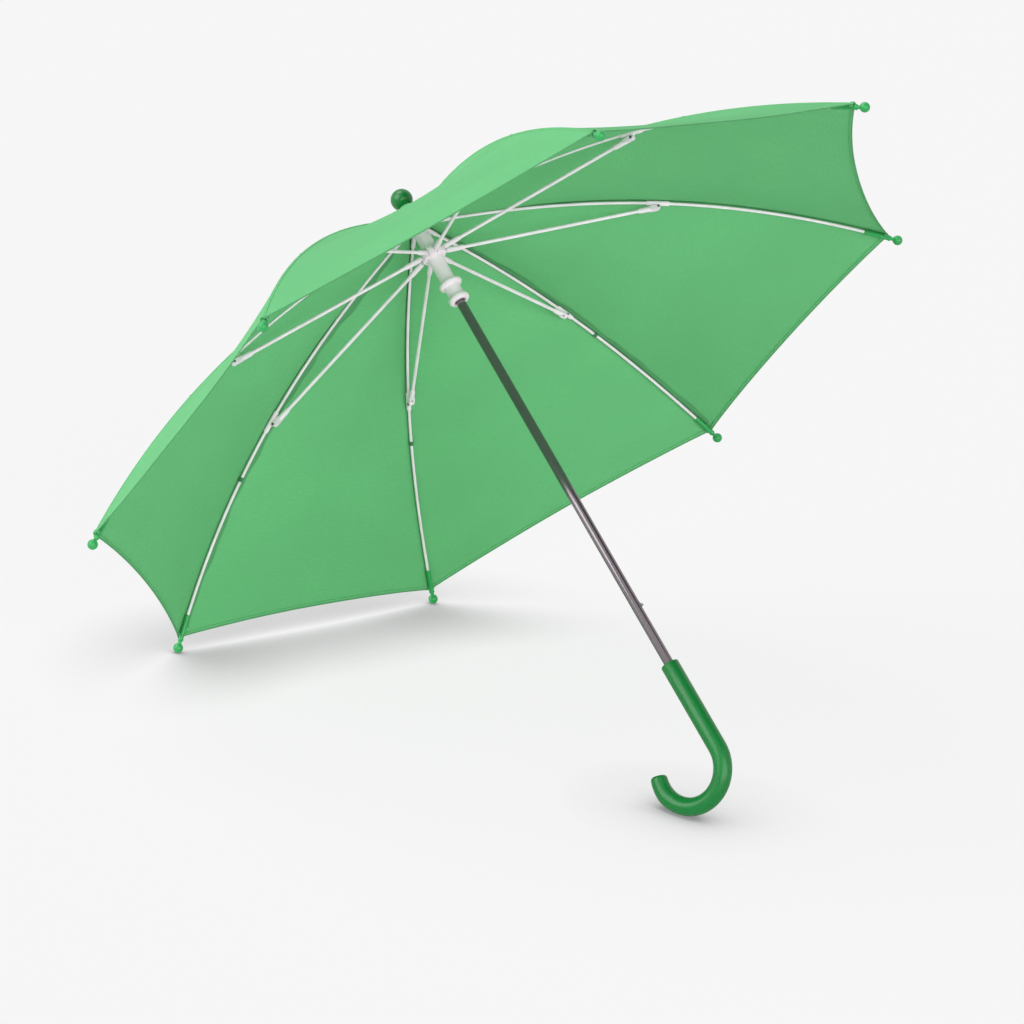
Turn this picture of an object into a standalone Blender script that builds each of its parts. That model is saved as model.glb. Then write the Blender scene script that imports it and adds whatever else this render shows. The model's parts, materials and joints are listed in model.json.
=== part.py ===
"""A child's stick umbrella, open and lying as it is put down: on two rib tips and its handle's hook.

Everything is built upright round the shaft (local Z, ferrule up), under one empty that leans it
onto the floor. Sizes are in metres. The floor is z = 0.
"""

import math

import bmesh
import bpy
import numpy as np
from mathutils import Matrix, Vector

MM = 0.001

# ---- canopy and ribs --------------------------------------------------------------------------
RIBS = 8
FIRST_RIB_DEG = 67.5  # azimuth of rib 1; the next ones follow clockwise seen from the ferrule
CANOPY_R = 375 * MM  # circle through the centres of the eight tip balls
CROWN_Z = 165 * MM  # height of the crown's wire over the plane of the tip balls
CROWN_WIRE_R = 7.5 * MM
BOW_R = 100 * MM  # the rib is a little straighter in its upper half: its height at this radius
BOW_Z = 144.0 * MM
RIB_R = 1.25 * MM
RIB_END_R = 1.9 * MM  # thicker moulded inner end of a rib
RIB_END_FROM = 5.5 * MM
RIB_END_TO = 21 * MM
EYE_R = 1.5 * MM
EYE_HOLE_R = 0.8 * MM
EYE_THICK = 1.6 * MM
WIRE_R = 0.5 * MM
GAP = 0.3 * MM

# ---- rib joints and stretchers ----------------------------------------------------------------
JOINT_R = 198.5 * MM
JOINT_Z = 105 * MM
PIN_DROP = 4.0 * MM  # the pin lies this far inside the rib's centre line
PIN_R = 0.8 * MM
PIN_LENGTH = 6.0 * MM
PIN_HOLE_R = 1.01 * MM
BLOCK_LENGTH = 20 * MM
BLOCK_R = 2.1 * MM
WEB_THICK = 1.8 * MM
BOSS_PROUD = 0.1 * MM  # a web or cheek is thinner than its boss by this, each side
WEB_R = 1.9 * MM
FORK_GAP = 2.4 * MM
CHEEK_THICK = 1.3 * MM
CHEEK_R = 1.85 * MM
CHEEK_LENGTH = 7.0 * MM
SOCKET_R = 2.35 * MM
SOCKET_LENGTH = 11 * MM
STRETCHER_R = 1.45 * MM
STRETCHER_END_R = 2.3 * MM  # thicker moulded inner end, widest close to the runner
STRETCHER_END_FROM = 7.5 * MM
STRETCHER_END_TO = 19 * MM
NECK_R = 0.8 * MM  # of a rib or stretcher beside its eye

# ---- tips -------------------------------------------------------------------------------------
TIP_BALL_R = 4.2 * MM
TIP_NECK_R = 1.5 * MM
TIP_SLEEVE_R = 2.1 * MM
TIP_COLLAR_R = 2.6 * MM
TIP_LENGTH = 29 * MM  # ball centre to the sleeve's mouth
TIP_COLLAR_AT = 6.8 * MM
TIP_BORE_AT = 8.4 * MM
RIB_STOPS_AT = 9.0 * MM

# ---- fabric -----------------------------------------------------------------------------------
FABRIC = 0.4 * MM
CANOPY_OVER_RIB = 3.0 * MM
CANOPY_TOP_RISE = 5.3 * MM
CANOPY_TOP_FADE = 12 * MM
CANOPY_HOLE_R = 4.2 * MM
HEM_AT = 8.4 * MM
HEM_DIP = 7.0 * MM
HEM_DIP_POWER = 0.9
HEM_SAG = 4.0 * MM
MID_SAG = 10.8 * MM
MID_SAG_POWER = 0.66
SEAM_GAP = 0.8 * MM

# ---- shaft, crown, ferrule --------------------------------------------------------------------
SHAFT_R = 4.0 * MM
SHAFT_BORE_R = 3.5 * MM
SHAFT_TOP = 172 * MM
SHAFT_BOTTOM = -330 * MM
CROWN_R = 10 * MM
CROWN_HALF = 3.5 * MM
SLOT_W = 2.4 * MM
BORE_R = 4.3 * MM  # crown and runner over the shaft
BALL_Z = 191.5 * MM
BALL_R = 9.3 * MM
STEM_R = 3.0 * MM
STEM_BOTTOM = 164 * MM
ROSETTE_R = 7.0 * MM
ROSETTE_Z = 174.2 * MM
ROSETTE_H = 4.6 * MM

# ---- runner -----------------------------------------------------------------------------------
RING_Z = 135.0 * MM  # height of the stretchers' wire with the umbrella open
RING_WIRE_R = 8.9 * MM
RING_R = 10.5 * MM
RING_HALF = 3.5 * MM
RUNNER_R = 6.35 * MM
RUNNER_TOP = 156 * MM
SLOT_FLOOR = 0.55 * MM
FLANGE_Z = 104.1 * MM
FLANGE_R = 10.0 * MM
FLANGE_HALF = 1.9 * MM
MOUTH_FLANGE_R = 9.0 * MM
MOUTH_FLANGE_Z = 89.7 * MM
RUNNER_BOTTOM = 86.7 * MM
WAIST_R = 6.5 * MM
MOUTH_R = 5.0 * MM
WINDOW_Z = 141.6 * MM
WINDOW_HALF = 3.0 * MM
WINDOW_W = 3.0 * MM

# ---- catches ----------------------------------------------------------------------------------
CATCH_DEG = 210.0
CATCH_W = 1.6 * MM
CATCH_T = 0.5 * MM
CATCH_ARM = 18 * MM
CATCH_ARM_R = 1.9 * MM  # the arm's outer face, from the shaft's axis
NOSE_HALF = 2.0 * MM
NOSE_OUT = 5.6 * MM
FOLDED_DEG = 8.15  # angle of a rib's chord to the shaft when folded

# ---- handle -----------------------------------------------------------------------------------
HANDLE_R = 7.5 * MM
HANDLE_TOP = -271.9 * MM
HOOK_FROM = -350.1 * MM
HOOK_R = 30.4 * MM
HOOK_ARC_DEG = 198.0
HOOK_DEG = 17.2
HANDLE_BORE_R = 4.2 * MM
HANDLE_ROUND = 1.0 * MM

# ---- closing strap ----------------------------------------------------------------------------
STRAP_L = 70 * MM
STRAP_W = 16 * MM
STRAP_T = 0.6 * MM
STRAP_PANEL = 4
STRAP_ABOVE_HEM = 0.10  # share of the panel's length between the hem and the strap

COLOURS = {
    "green_fabric": (0.12, 0.45, 0.17, 1),
    "green_plastic": (0.07, 0.33, 0.10, 1),
    "white_plastic": (0.85, 0.84, 0.84, 1),
    "white_rod": (0.82, 0.78, 0.80, 1),
    "shaft_steel": (0.55, 0.55, 0.56, 1),
    "dark_steel": (0.08, 0.08, 0.09, 1),
}

# ---- the rib's curve, in its own plane (radius, height) ---------------------------------------
_middle_slope = -CROWN_Z / (CANOPY_R - CROWN_WIRE_R)
_k = 1 / math.hypot(1, _middle_slope)
PIN_ON_RIB_R = JOINT_R - PIN_DROP * _middle_slope * _k  # where the rib passes over the pin
PIN_ON_RIB_Z = JOINT_Z + PIN_DROP * _k
CURVE = np.polyfit(
    [CROWN_WIRE_R, BOW_R, PIN_ON_RIB_R, CANOPY_R],
    [CROWN_Z, BOW_Z, PIN_ON_RIB_Z, 0.0],
    3,
)


def rib_z(r):
    return float(np.polyval(CURVE, r))


def rib_slope(r):
    return float(np.polyval(np.polyder(CURVE), r))


def rib_back(s):
    """The rib's radius at a length s back from the tip ball's centre."""
    r = CANOPY_R
    for _ in range(24):
        step = s / 24
        r -= step / math.hypot(1, rib_slope(r))
    return r


def seam(r):
    """(radius, height) of the canopy's middle surface over the rib at radius r."""
    rise = CANOPY_OVER_RIB + CANOPY_TOP_RISE * math.exp(-max(r - CROWN_R * 0.8, 0) / CANOPY_TOP_FADE)
    s = rib_slope(r)
    k = 1 / math.hypot(1, s)
    return r - s * k * rise, rib_z(r) + k * rise


# how far the runner slides from open to folded
STRETCH_LONG = math.hypot(JOINT_R - RING_WIRE_R, JOINT_Z - RING_Z)
CHORD = math.hypot(JOINT_R - CROWN_WIRE_R, CROWN_Z - JOINT_Z)
RIB_FOLDED = math.radians(FOLDED_DEG)
FOLDED_R = CROWN_WIRE_R + CHORD * math.sin(RIB_FOLDED)
STRETCH_FOLDED = math.asin((FOLDED_R - RING_WIRE_R) / STRETCH_LONG)
RUNNER_TRAVEL = (
    CHORD * math.cos(RIB_FOLDED) + STRETCH_LONG * math.cos(STRETCH_FOLDED) - (CROWN_Z - RING_Z)
)

PARTS = "umbrella"
CUTTERS = "cutters"


# ---- helpers ----------------------------------------------------------------------------------
def clear_scene():
    for obj in list(bpy.data.objects):
        bpy.data.objects.remove(obj, do_unlink=True)


def collection(name, hidden=False):
    made = bpy.data.collections.new(name)
    bpy.context.scene.collection.children.link(made)
    made.hide_render = hidden
    return made


def material(kind, name):
    made = bpy.data.materials.new(name)
    made.use_nodes = True
    shader = made.node_tree.nodes["Principled BSDF"]
    shader.inputs["Base Color"].default_value = COLOURS[kind]
    shader.inputs["Roughness"].default_value = 0.5
    if kind.endswith("steel"):
        shader.inputs["Metallic"].default_value = 1.0
    made.diffuse_color = COLOURS[kind]
    return made


def node(name, mesh, kind, place=None):
    """A named piece with its own material, hung on the umbrella's empty at the given local matrix."""
    mesh.name = name
    obj = bpy.data.objects.new(name, mesh)
    groups[PARTS].objects.link(obj)
    obj.parent = root
    obj.matrix_local = place or Matrix.Identity(4)
    mesh.materials.clear()
    mesh.materials.append(material(kind, kind + "_" + name))
    mesh.shade_smooth()
    mesh.set_sharp_from_angle(angle=math.radians(35))
    return obj


def cutter(name, mesh, place=None):
    obj = bpy.data.objects.new(name, mesh)
    groups[CUTTERS].objects.link(obj)
    obj.parent = root
    obj.matrix_local = place or Matrix.Identity(4)
    obj.hide_render = True
    obj.display_type = "WIRE"
    return obj


def boolean(obj, other, how="DIFFERENCE"):
    mod = obj.modifiers.new(how.lower() + "_" + other.name, "BOOLEAN")
    mod.operation = how
    mod.solver = "EXACT"
    mod.object = other


def joined(name, meshes, extra=()):
    """One mesh that is the exact union of closed meshes, less any extra ones."""
    made = []
    for i, mesh in enumerate(list(meshes) + list(extra)):
        obj = bpy.data.objects.new(name + "_raw" + str(i), mesh)
        groups[CUTTERS].objects.link(obj)
        obj.hide_render = True
        made.append(obj)
    first = made[0]
    for i, obj in enumerate(made[1:], 1):
        boolean(first, obj, "UNION" if i < len(meshes) else "DIFFERENCE")
    bpy.context.view_layer.update()
    graph = bpy.context.evaluated_depsgraph_get()
    out = bpy.data.meshes.new_from_object(first.evaluated_get(graph))
    for obj in made:
        bpy.data.objects.remove(obj, do_unlink=True)
    return out


def mesh_of(name, build):
    bm = bmesh.new()
    build(bm)
    bmesh.ops.recalc_face_normals(bm, faces=bm.faces)
    mesh = bpy.data.meshes.new(name)
    bm.to_mesh(mesh)
    bm.free()
    return mesh


def box_mesh(name, low, high):
    def build(bm):
        bmesh.ops.create_cube(bm, size=1.0)
        size = [h - a for a, h in zip(low, high)]
        middle = [(h + a) / 2 for a, h in zip(low, high)]
        bmesh.ops.scale(bm, vec=size, verts=bm.verts)
        bmesh.ops.translate(bm, vec=middle, verts=bm.verts)

    return mesh_of(name, build)


def cylinder_mesh(name, radius, start, end, sides):
    """A cylinder between two points."""
    start, end = Vector(start), Vector(end)
    way = end - start

    def build(bm):
        bmesh.ops.create_cone(
            bm, cap_ends=True, segments=sides, radius1=radius, radius2=radius, depth=way.length
        )
        turn = Vector((0, 0, 1)).rotation_difference(way.normalized()).to_matrix().to_4x4()
        bmesh.ops.transform(bm, matrix=Matrix.Translation((start + end) / 2) @ turn, verts=bm.verts)

    return mesh_of(name, build)


def rod_mesh(name, points, radii, sides_level=2, radius=1.0):
    """A round bar along a poly curve, thicker or thinner from point to point, closed at both ends."""
    curve = bpy.data.curves.new(name, "CURVE")
    curve.dimensions = "3D"
    curve.bevel_depth = radius
    curve.bevel_resolution = sides_level
    curve.use_fill_caps = True
    curve.twist_mode = "MINIMUM"
    line = curve.splines.new("POLY")
    line.points.add(len(points) - 1)
    for at, point, wide in zip(line.points, points, radii):
        at.co = (*point, 1.0)
        at.radius = wide / radius
    obj = bpy.data.objects.new(name, curve)
    groups[CUTTERS].objects.link(obj)
    bpy.context.view_layer.update()
    graph = bpy.context.evaluated_depsgraph_get()
    mesh = bpy.data.meshes.new_from_object(obj.evaluated_get(graph))
    bpy.data.objects.remove(obj, do_unlink=True)
    bm = bmesh.new()
    bm.from_mesh(mesh)
    bmesh.ops.remove_doubles(bm, verts=bm.verts, dist=1e-6)
    bmesh.ops.recalc_face_normals(bm, faces=bm.faces)
    bm.to_mesh(mesh)
    bm.free()
    return mesh


def turned(obj_name, profile, kind, place=None, steps=24, closed=False):
    """A shape turned about local Z from (radius, height) points that run top to bottom on the outer side."""
    mesh = bpy.data.meshes.new(obj_name)
    count = len(profile)
    edges = [(i, i + 1) for i in range(count - 1)] + ([(count - 1, 0)] if closed else [])
    mesh.from_pydata([(r, 0, z) for r, z in profile], edges, [])
    obj = node(obj_name, mesh, kind, place)
    mod = obj.modifiers.new("turn", "SCREW")
    mod.axis = "Z"
    mod.steps = mod.render_steps = steps
    mod.use_merge_vertices = True
    mod.merge_threshold = 1e-5
    mod.use_normal_calculate = True
    return obj


def arc(radius, middle, start_deg, end_deg, count):
    """(radius, height) points on a ball's outline about the axis."""
    out = []
    for i in range(count):
        a = math.radians(start_deg + (end_deg - start_deg) * i / (count - 1))
        out.append((radius * math.sin(a), middle + radius * math.cos(a)))
    return out


def azimuth(k):
    return math.radians(FIRST_RIB_DEG - 360.0 * k / RIBS)


def in_plane(k, r, z):
    """Matrix of a frame at (r, z) in rib k's plane: local X outward, local Y tangential, local Z up."""
    return Matrix.Rotation(azimuth(k), 4, "Z") @ Matrix.Translation((r, 0, z))


# ---- pieces of one rib set --------------------------------------------------------------------
def make_rib(k):
    name = "rib_%d" % (k + 1)
    stop = rib_back(RIB_STOPS_AT)
    ends = [
        (CROWN_WIRE_R + EYE_HOLE_R + 0.35 * MM, NECK_R - 0.05 * MM),
        (CROWN_WIRE_R + RIB_END_FROM - 1.5 * MM, NECK_R),
        (CROWN_WIRE_R + RIB_END_FROM, RIB_END_R),
        (CROWN_WIRE_R + RIB_END_TO, RIB_END_R),
        (CROWN_WIRE_R + RIB_END_TO + 2 * MM, RIB_R),
    ]
    near = BLOCK_LENGTH * 0.45
    mouth = rib_back(TIP_LENGTH)
    rest = [*np.linspace(ends[-1][0], PIN_ON_RIB_R - near, 6)[1:], PIN_ON_RIB_R]
    rest += [*np.linspace(PIN_ON_RIB_R + near, mouth, 6), stop]
    stations = ends + [(r, RIB_R) for r in rest]
    points = [(r - CROWN_WIRE_R, 0, rib_z(r) - CROWN_Z) for r, _ in stations]
    rod = rod_mesh(name + "_rod", points, [w for _, w in stations], radius=RIB_R)
    half = EYE_THICK / 2
    eye = cylinder_mesh(name + "_eye", EYE_R, (0, -half, 0), (0, half, 0), 12)
    hole = cylinder_mesh(name + "_hole", EYE_HOLE_R, (0, -2 * half, 0), (0, 2 * half, 0), 8)
    return node(
        name, joined(name, [rod, eye], [hole]), "white_rod", in_plane(k, CROWN_WIRE_R, CROWN_Z)
    )


def rib_frame_at_pin():
    """(unit vector along the rib outward, unit vector from the pin towards the rib) in the rib's plane."""
    s = rib_slope(PIN_ON_RIB_R)
    k = 1 / math.hypot(1, s)
    return Vector((k, 0, s * k)), Vector((-s * k, 0, k))


def make_joint(k):
    """White sleeve clamped on the rib, with one web that the pin goes through."""
    name = "rib_joint_%d" % (k + 1)
    along, up = rib_frame_at_pin()
    centre = Vector((PIN_ON_RIB_R - JOINT_R, 0, PIN_ON_RIB_Z - JOINT_Z))
    half = BLOCK_LENGTH / 2
    spots = [-half, -half + 3 * MM, half - 3 * MM, half]
    wide = [BLOCK_R - 0.3 * MM, BLOCK_R, BLOCK_R, BLOCK_R - 0.3 * MM]
    sleeve = rod_mesh(name + "_sleeve", [centre + along * s for s in spots], wide, 2, BLOCK_R)
    thick = WEB_THICK / 2
    boss = cylinder_mesh(name + "_boss", WEB_R, (0, -thick, 0), (0, thick, 0), 12)
    reach = (centre - up * (RIB_R + GAP + 0.1 * MM)).length

    def web(bm):
        bmesh.ops.create_cube(bm, size=1.0)
        bmesh.ops.scale(bm, vec=(1.8 * WEB_R, WEB_THICK - 2 * BOSS_PROUD, reach), verts=bm.verts)
        turn = Vector((0, 0, 1)).rotation_difference(up).to_matrix().to_4x4()
        bmesh.ops.transform(bm, matrix=Matrix.Translation(up * reach / 2) @ turn, verts=bm.verts)

    bore_r = RIB_R + GAP
    bore = cylinder_mesh(
        name + "_bore", bore_r, centre - along * BLOCK_LENGTH, centre + along * BLOCK_LENGTH, 10
    )
    hole = cylinder_mesh(name + "_hole", PIN_HOLE_R, (0, -2 * thick, 0), (0, 2 * thick, 0), 10)
    body = joined(name, [sleeve, boss, mesh_of(name + "_web", web)], [bore, hole])
    return node(name, body, "white_plastic", in_plane(k, JOINT_R, JOINT_Z))


def make_pin(k):
    half = PIN_LENGTH / 2
    mesh = cylinder_mesh("pin", PIN_R, (0, -half, 0), (0, half, 0), 10)
    return node("joint_pin_%d" % (k + 1), mesh, "dark_steel", in_plane(k, JOINT_R, JOINT_Z))


def make_stretcher(k):
    """Rod with a moulded fork round the rib's pin and a moulded eye on the runner's wire."""
    name = "stretcher_%d" % (k + 1)
    way = Vector((RING_WIRE_R - JOINT_R, 0, RING_Z - JOINT_Z))
    long = way.length
    way.normalize()
    inner = way * long
    fork_from = CHEEK_LENGTH - 1.2 * MM
    stations = [
        (fork_from, SOCKET_R - 0.3 * MM),
        (fork_from + 1.5 * MM, SOCKET_R),
        (CHEEK_LENGTH + SOCKET_LENGTH - 3 * MM, SOCKET_R),
        (CHEEK_LENGTH + SOCKET_LENGTH, STRETCHER_R),
        (long * 0.4, STRETCHER_R),
        (long * 0.7, STRETCHER_R),
        (long - STRETCHER_END_TO, STRETCHER_R),
        (long - STRETCHER_END_FROM, STRETCHER_END_R),
        (long - STRETCHER_END_FROM + 1.2 * MM, STRETCHER_END_R - 0.7 * MM),
        (long - STRETCHER_END_FROM + 3 * MM, NECK_R),
        (long - EYE_HOLE_R - 0.35 * MM, NECK_R - 0.05 * MM),
    ]
    rod = rod_mesh(
        name + "_rod", [way * s for s, _ in stations], [w for _, w in stations], 2, STRETCHER_R
    )
    half = EYE_THICK / 2
    side = Vector((0, 1, 0))
    eye = cylinder_mesh(name + "_eye", EYE_R, inner - side * half, inner + side * half, 12)
    eye_hole = cylinder_mesh(
        name + "_eyehole", EYE_HOLE_R, inner - side * 2 * half, inner + side * 2 * half, 8
    )
    low, high = FORK_GAP / 2, FORK_GAP / 2 + CHEEK_THICK
    turn = Vector((1, 0, 0)).rotation_difference(way).to_matrix().to_4x4()
    cheeks = []
    for sign in (-1, 1):
        cheeks.append(
            cylinder_mesh(name + "_boss", CHEEK_R, side * sign * low, side * sign * high, 12)
        )
        a, b = sorted((sign * (low + BOSS_PROUD), sign * (high - BOSS_PROUD)))
        bar = box_mesh(name + "_cheek", (0, a, -CHEEK_R * 0.9), (CHEEK_LENGTH, b, CHEEK_R * 0.9))
        bar.transform(turn)
        cheeks.append(bar)
    pin_hole = cylinder_mesh(
        name + "_pinhole", PIN_HOLE_R, side * -2 * high, side * 2 * high, 10
    )
    mesh = joined(name, [rod, eye] + cheeks, [eye_hole, pin_hole])
    return node(name, mesh, "white_rod", in_plane(k, JOINT_R, JOINT_Z))


def tip_way():
    """(start, unit vector) of the tip's axis, from the sleeve's mouth on the rib to the ball's centre."""
    r = rib_back(TIP_LENGTH)
    way = Vector((CANOPY_R - r, 0, -rib_z(r)))
    return way.normalized()


def make_tip(k):
    neck = math.degrees(math.asin(TIP_NECK_R / TIP_BALL_R))
    bore = RIB_R + GAP
    profile = arc(TIP_BALL_R, 0, 0, 180 - neck, 7) + [
        (TIP_NECK_R, -TIP_COLLAR_AT + 0.6 * MM),
        (TIP_COLLAR_R, -TIP_COLLAR_AT),
        (TIP_COLLAR_R, -TIP_COLLAR_AT - 0.9 * MM),
        (TIP_SLEEVE_R, -TIP_COLLAR_AT - 1.4 * MM),
        (TIP_SLEEVE_R, -TIP_LENGTH + 0.4 * MM),
        (TIP_SLEEVE_R - 0.15 * MM, -TIP_LENGTH),
        (bore, -TIP_LENGTH),
        (bore, -TIP_BORE_AT),
        (0, -TIP_BORE_AT),
    ]
    turn = Vector((0, 0, 1)).rotation_difference(tip_way()).to_matrix().to_4x4()
    place = in_plane(k, CANOPY_R, 0) @ turn
    return turned("tip_%d" % (k + 1), profile, "green_plastic", place, steps=10)


# ---- fabric -----------------------------------------------------------------------------------
def canopy_point(k, u, v):
    """Middle surface of the panel from rib k to rib k + 1. u runs across, v from top hole to hem."""
    hem = rib_back(HEM_AT)
    r = CANOPY_HOLE_R + (hem - CANOPY_HOLE_R) * v
    sr, sz = seam(r)
    a, b = azimuth(k), azimuth(k + 1)
    first = Vector((sr * math.cos(a), sr * math.sin(a), sz))
    last = Vector((sr * math.cos(b), sr * math.sin(b), sz))
    middle = Vector((math.cos((a + b) / 2), math.sin((a + b) / 2), 0))
    slope = rib_slope(r) / math.cos(math.pi / RIBS)
    c = 1 / math.hypot(1, slope)
    down = (middle + Vector((0, 0, slope))) * c
    out = (Vector((0, 0, 1)) - middle * slope) * c
    w = 4 * u * (1 - u)
    sag = HEM_SAG * v**4 + MID_SAG * math.sin(math.pi * v**MID_SAG_POWER)
    return first.lerp(last, u) - down * (HEM_DIP * v**3 * w**HEM_DIP_POWER) - out * (sag * w)


def sheet_mesh(name, grid):
    rows, cols = len(grid), len(grid[0])
    points = [p for row in grid for p in row]
    faces = [
        (i * cols + j, i * cols + j + 1, (i + 1) * cols + j + 1, (i + 1) * cols + j)
        for i in range(rows - 1)
        for j in range(cols - 1)
    ]
    mesh = bpy.data.meshes.new(name)
    mesh.from_pydata(points, [], faces)
    return mesh


def thicken(obj, thickness):
    mod = obj.modifiers.new("thickness", "SOLIDIFY")
    mod.thickness = thickness
    mod.offset = 0.0
    mod.use_even_offset = True
    return obj


def make_panel(k):
    name = "canopy_panel_%d" % (k + 1)
    across, down = 6, 9
    pivot = in_plane(k, CROWN_WIRE_R, CROWN_Z)
    grid = []
    for j in range(down + 1):
        v = (j / down) ** 1.15
        width = (canopy_point(k, 1, v) - canopy_point(k, 0, v)).length
        edge = min(SEAM_GAP / 2 / width, 0.2)
        row = []
        for i in range(across + 1):
            u = edge + (1 - 2 * edge) * i / across
            row.append(pivot.inverted() @ canopy_point(k, u, v))
        grid.append(row)
    return thicken(node(name, sheet_mesh(name, grid), "green_fabric", pivot), FABRIC)


def make_strap():
    """Closing strap, sewn on at one end and lying flat on the outside of a panel near its hem."""
    k = STRAP_PANEL
    v = 1 - STRAP_ABOVE_HEM
    middle = canopy_point(k, 0.5, v)
    across = (canopy_point(k, 0.55, v) - canopy_point(k, 0.45, v)).normalized()
    long = (canopy_point(k, 0.5, v + 0.02) - canopy_point(k, 0.5, v - 0.02)).length / 0.04
    width = (canopy_point(k, 1, v) - canopy_point(k, 0, v)).length
    lift = FABRIC / 2 + GAP + STRAP_T / 2
    grid = []
    for i in range(3):
        row = []
        for j in range(9):
            u = 0.5 + (j / 8 - 0.5) * STRAP_L / width
            at = v + (i / 2 - 0.5) * STRAP_W / long
            p = canopy_point(k, u, at)
            du = canopy_point(k, u + 0.01, at) - canopy_point(k, u - 0.01, at)
            dv = canopy_point(k, u, at + 0.01) - canopy_point(k, u, at - 0.01)
            out = du.cross(dv).normalized()
            if out.z < 0:
                out.negate()
            row.append(p + out * lift)
        grid.append(row)
    obj = node("closing_strap", sheet_mesh("closing_strap", grid), "green_fabric")
    return thicken(obj, STRAP_T)


# ---- pieces on the shaft ----------------------------------------------------------------------
def window_box(name, z, half, wide, inner, outer):
    mesh = box_mesh(name, (inner, -wide / 2, z - half), (outer, wide / 2, z + half))
    return cutter(name, mesh, Matrix.Rotation(math.radians(CATCH_DEG), 4, "Z"))


def make_shaft():
    profile = [
        (SHAFT_R, SHAFT_TOP),
        (SHAFT_R, SHAFT_BOTTOM),
        (SHAFT_BORE_R, SHAFT_BOTTOM),
        (SHAFT_BORE_R, SHAFT_TOP),
    ]
    obj = turned("shaft_tube", profile, "shaft_steel", steps=24, closed=True)
    for i, z in enumerate((WINDOW_Z, WINDOW_Z - RUNNER_TRAVEL)):
        half = NOSE_HALF + 1.2 * MM
        wide = CATCH_W + 2 * GAP
        boolean(obj, window_box("slot_%d" % i, z, half, wide, 1.5 * MM, SHAFT_R + 2 * MM))
    return obj


def make_crown():
    low, high = CROWN_Z - CROWN_HALF, CROWN_Z + CROWN_HALF
    groove = WIRE_R + GAP
    floor = CROWN_WIRE_R - WIRE_R - GAP
    profile = [
        (BORE_R, high),
        (CROWN_R - 0.6 * MM, high),
        (CROWN_R, high - 0.6 * MM),
        (CROWN_R, CROWN_Z + groove),
        (floor, CROWN_Z + groove),
        (floor, CROWN_Z - groove),
        (CROWN_R, CROWN_Z - groove),
        (CROWN_R, low + 0.6 * MM),
        (CROWN_R - 0.6 * MM, low),
        (BORE_R, low),
    ]
    obj = turned("crown", profile, "white_plastic", steps=32, closed=True)
    inner = CROWN_WIRE_R - EYE_R - 0.4 * MM
    top = CROWN_Z + EYE_R + 0.5 * MM
    for k in range(RIBS):
        box = box_mesh("crown_slot", (inner, -SLOT_W / 2, low - MM), (CROWN_R + MM, SLOT_W / 2, top))
        boolean(obj, cutter("crown_slot_%d" % k, box, Matrix.Rotation(azimuth(k), 4, "Z")))
    return obj


def make_wire(name, radius, z):
    """A wire ring through the eyes of the ribs or stretchers."""

    def build(bm):
        around, section = 32, 5
        rings = []
        for i in range(around):
            a = 2 * math.pi * (i + 0.5) / around
            ring = []
            for j in range(section):
                b = 2 * math.pi * j / section
                r = radius + WIRE_R * math.cos(b)
                ring.append(bm.verts.new((r * math.cos(a), r * math.sin(a), z + WIRE_R * math.sin(b))))
            rings.append(ring)
        for i in range(around):
            for j in range(section):
                n, m = (i + 1) % around, (j + 1) % section
                bm.faces.new((rings[i][j], rings[n][j], rings[n][m], rings[i][m]))

    return node(name, mesh_of(name, build), "dark_steel")


def make_ferrule():
    meet = math.degrees(math.asin(STEM_R / BALL_R))
    profile = arc(BALL_R, BALL_Z, 0, 180 - meet, 9) + [
        (STEM_R, STEM_BOTTOM + 0.4 * MM),
        (STEM_R - 0.4 * MM, STEM_BOTTOM),
        (0, STEM_BOTTOM),
    ]
    return turned("ferrule_cap", profile, "green_plastic", steps=24)


def make_rosette():
    """Gathered fabric ring between the ferrule cap and the canopy's top hole."""
    inner = STEM_R + GAP
    profile = [
        (inner, ROSETTE_Z + ROSETTE_H),
        (inner + 0.9 * MM, ROSETTE_Z + ROSETTE_H),
        (inner + 1.6 * MM, ROSETTE_Z + ROSETTE_H * 0.45),
        (ROSETTE_R, ROSETTE_Z + 0.6 * MM),
        (ROSETTE_R, ROSETTE_Z),
        (inner, ROSETTE_Z),
    ]
    return turned("top_rosette", profile, "green_fabric", steps=24, closed=True)


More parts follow.
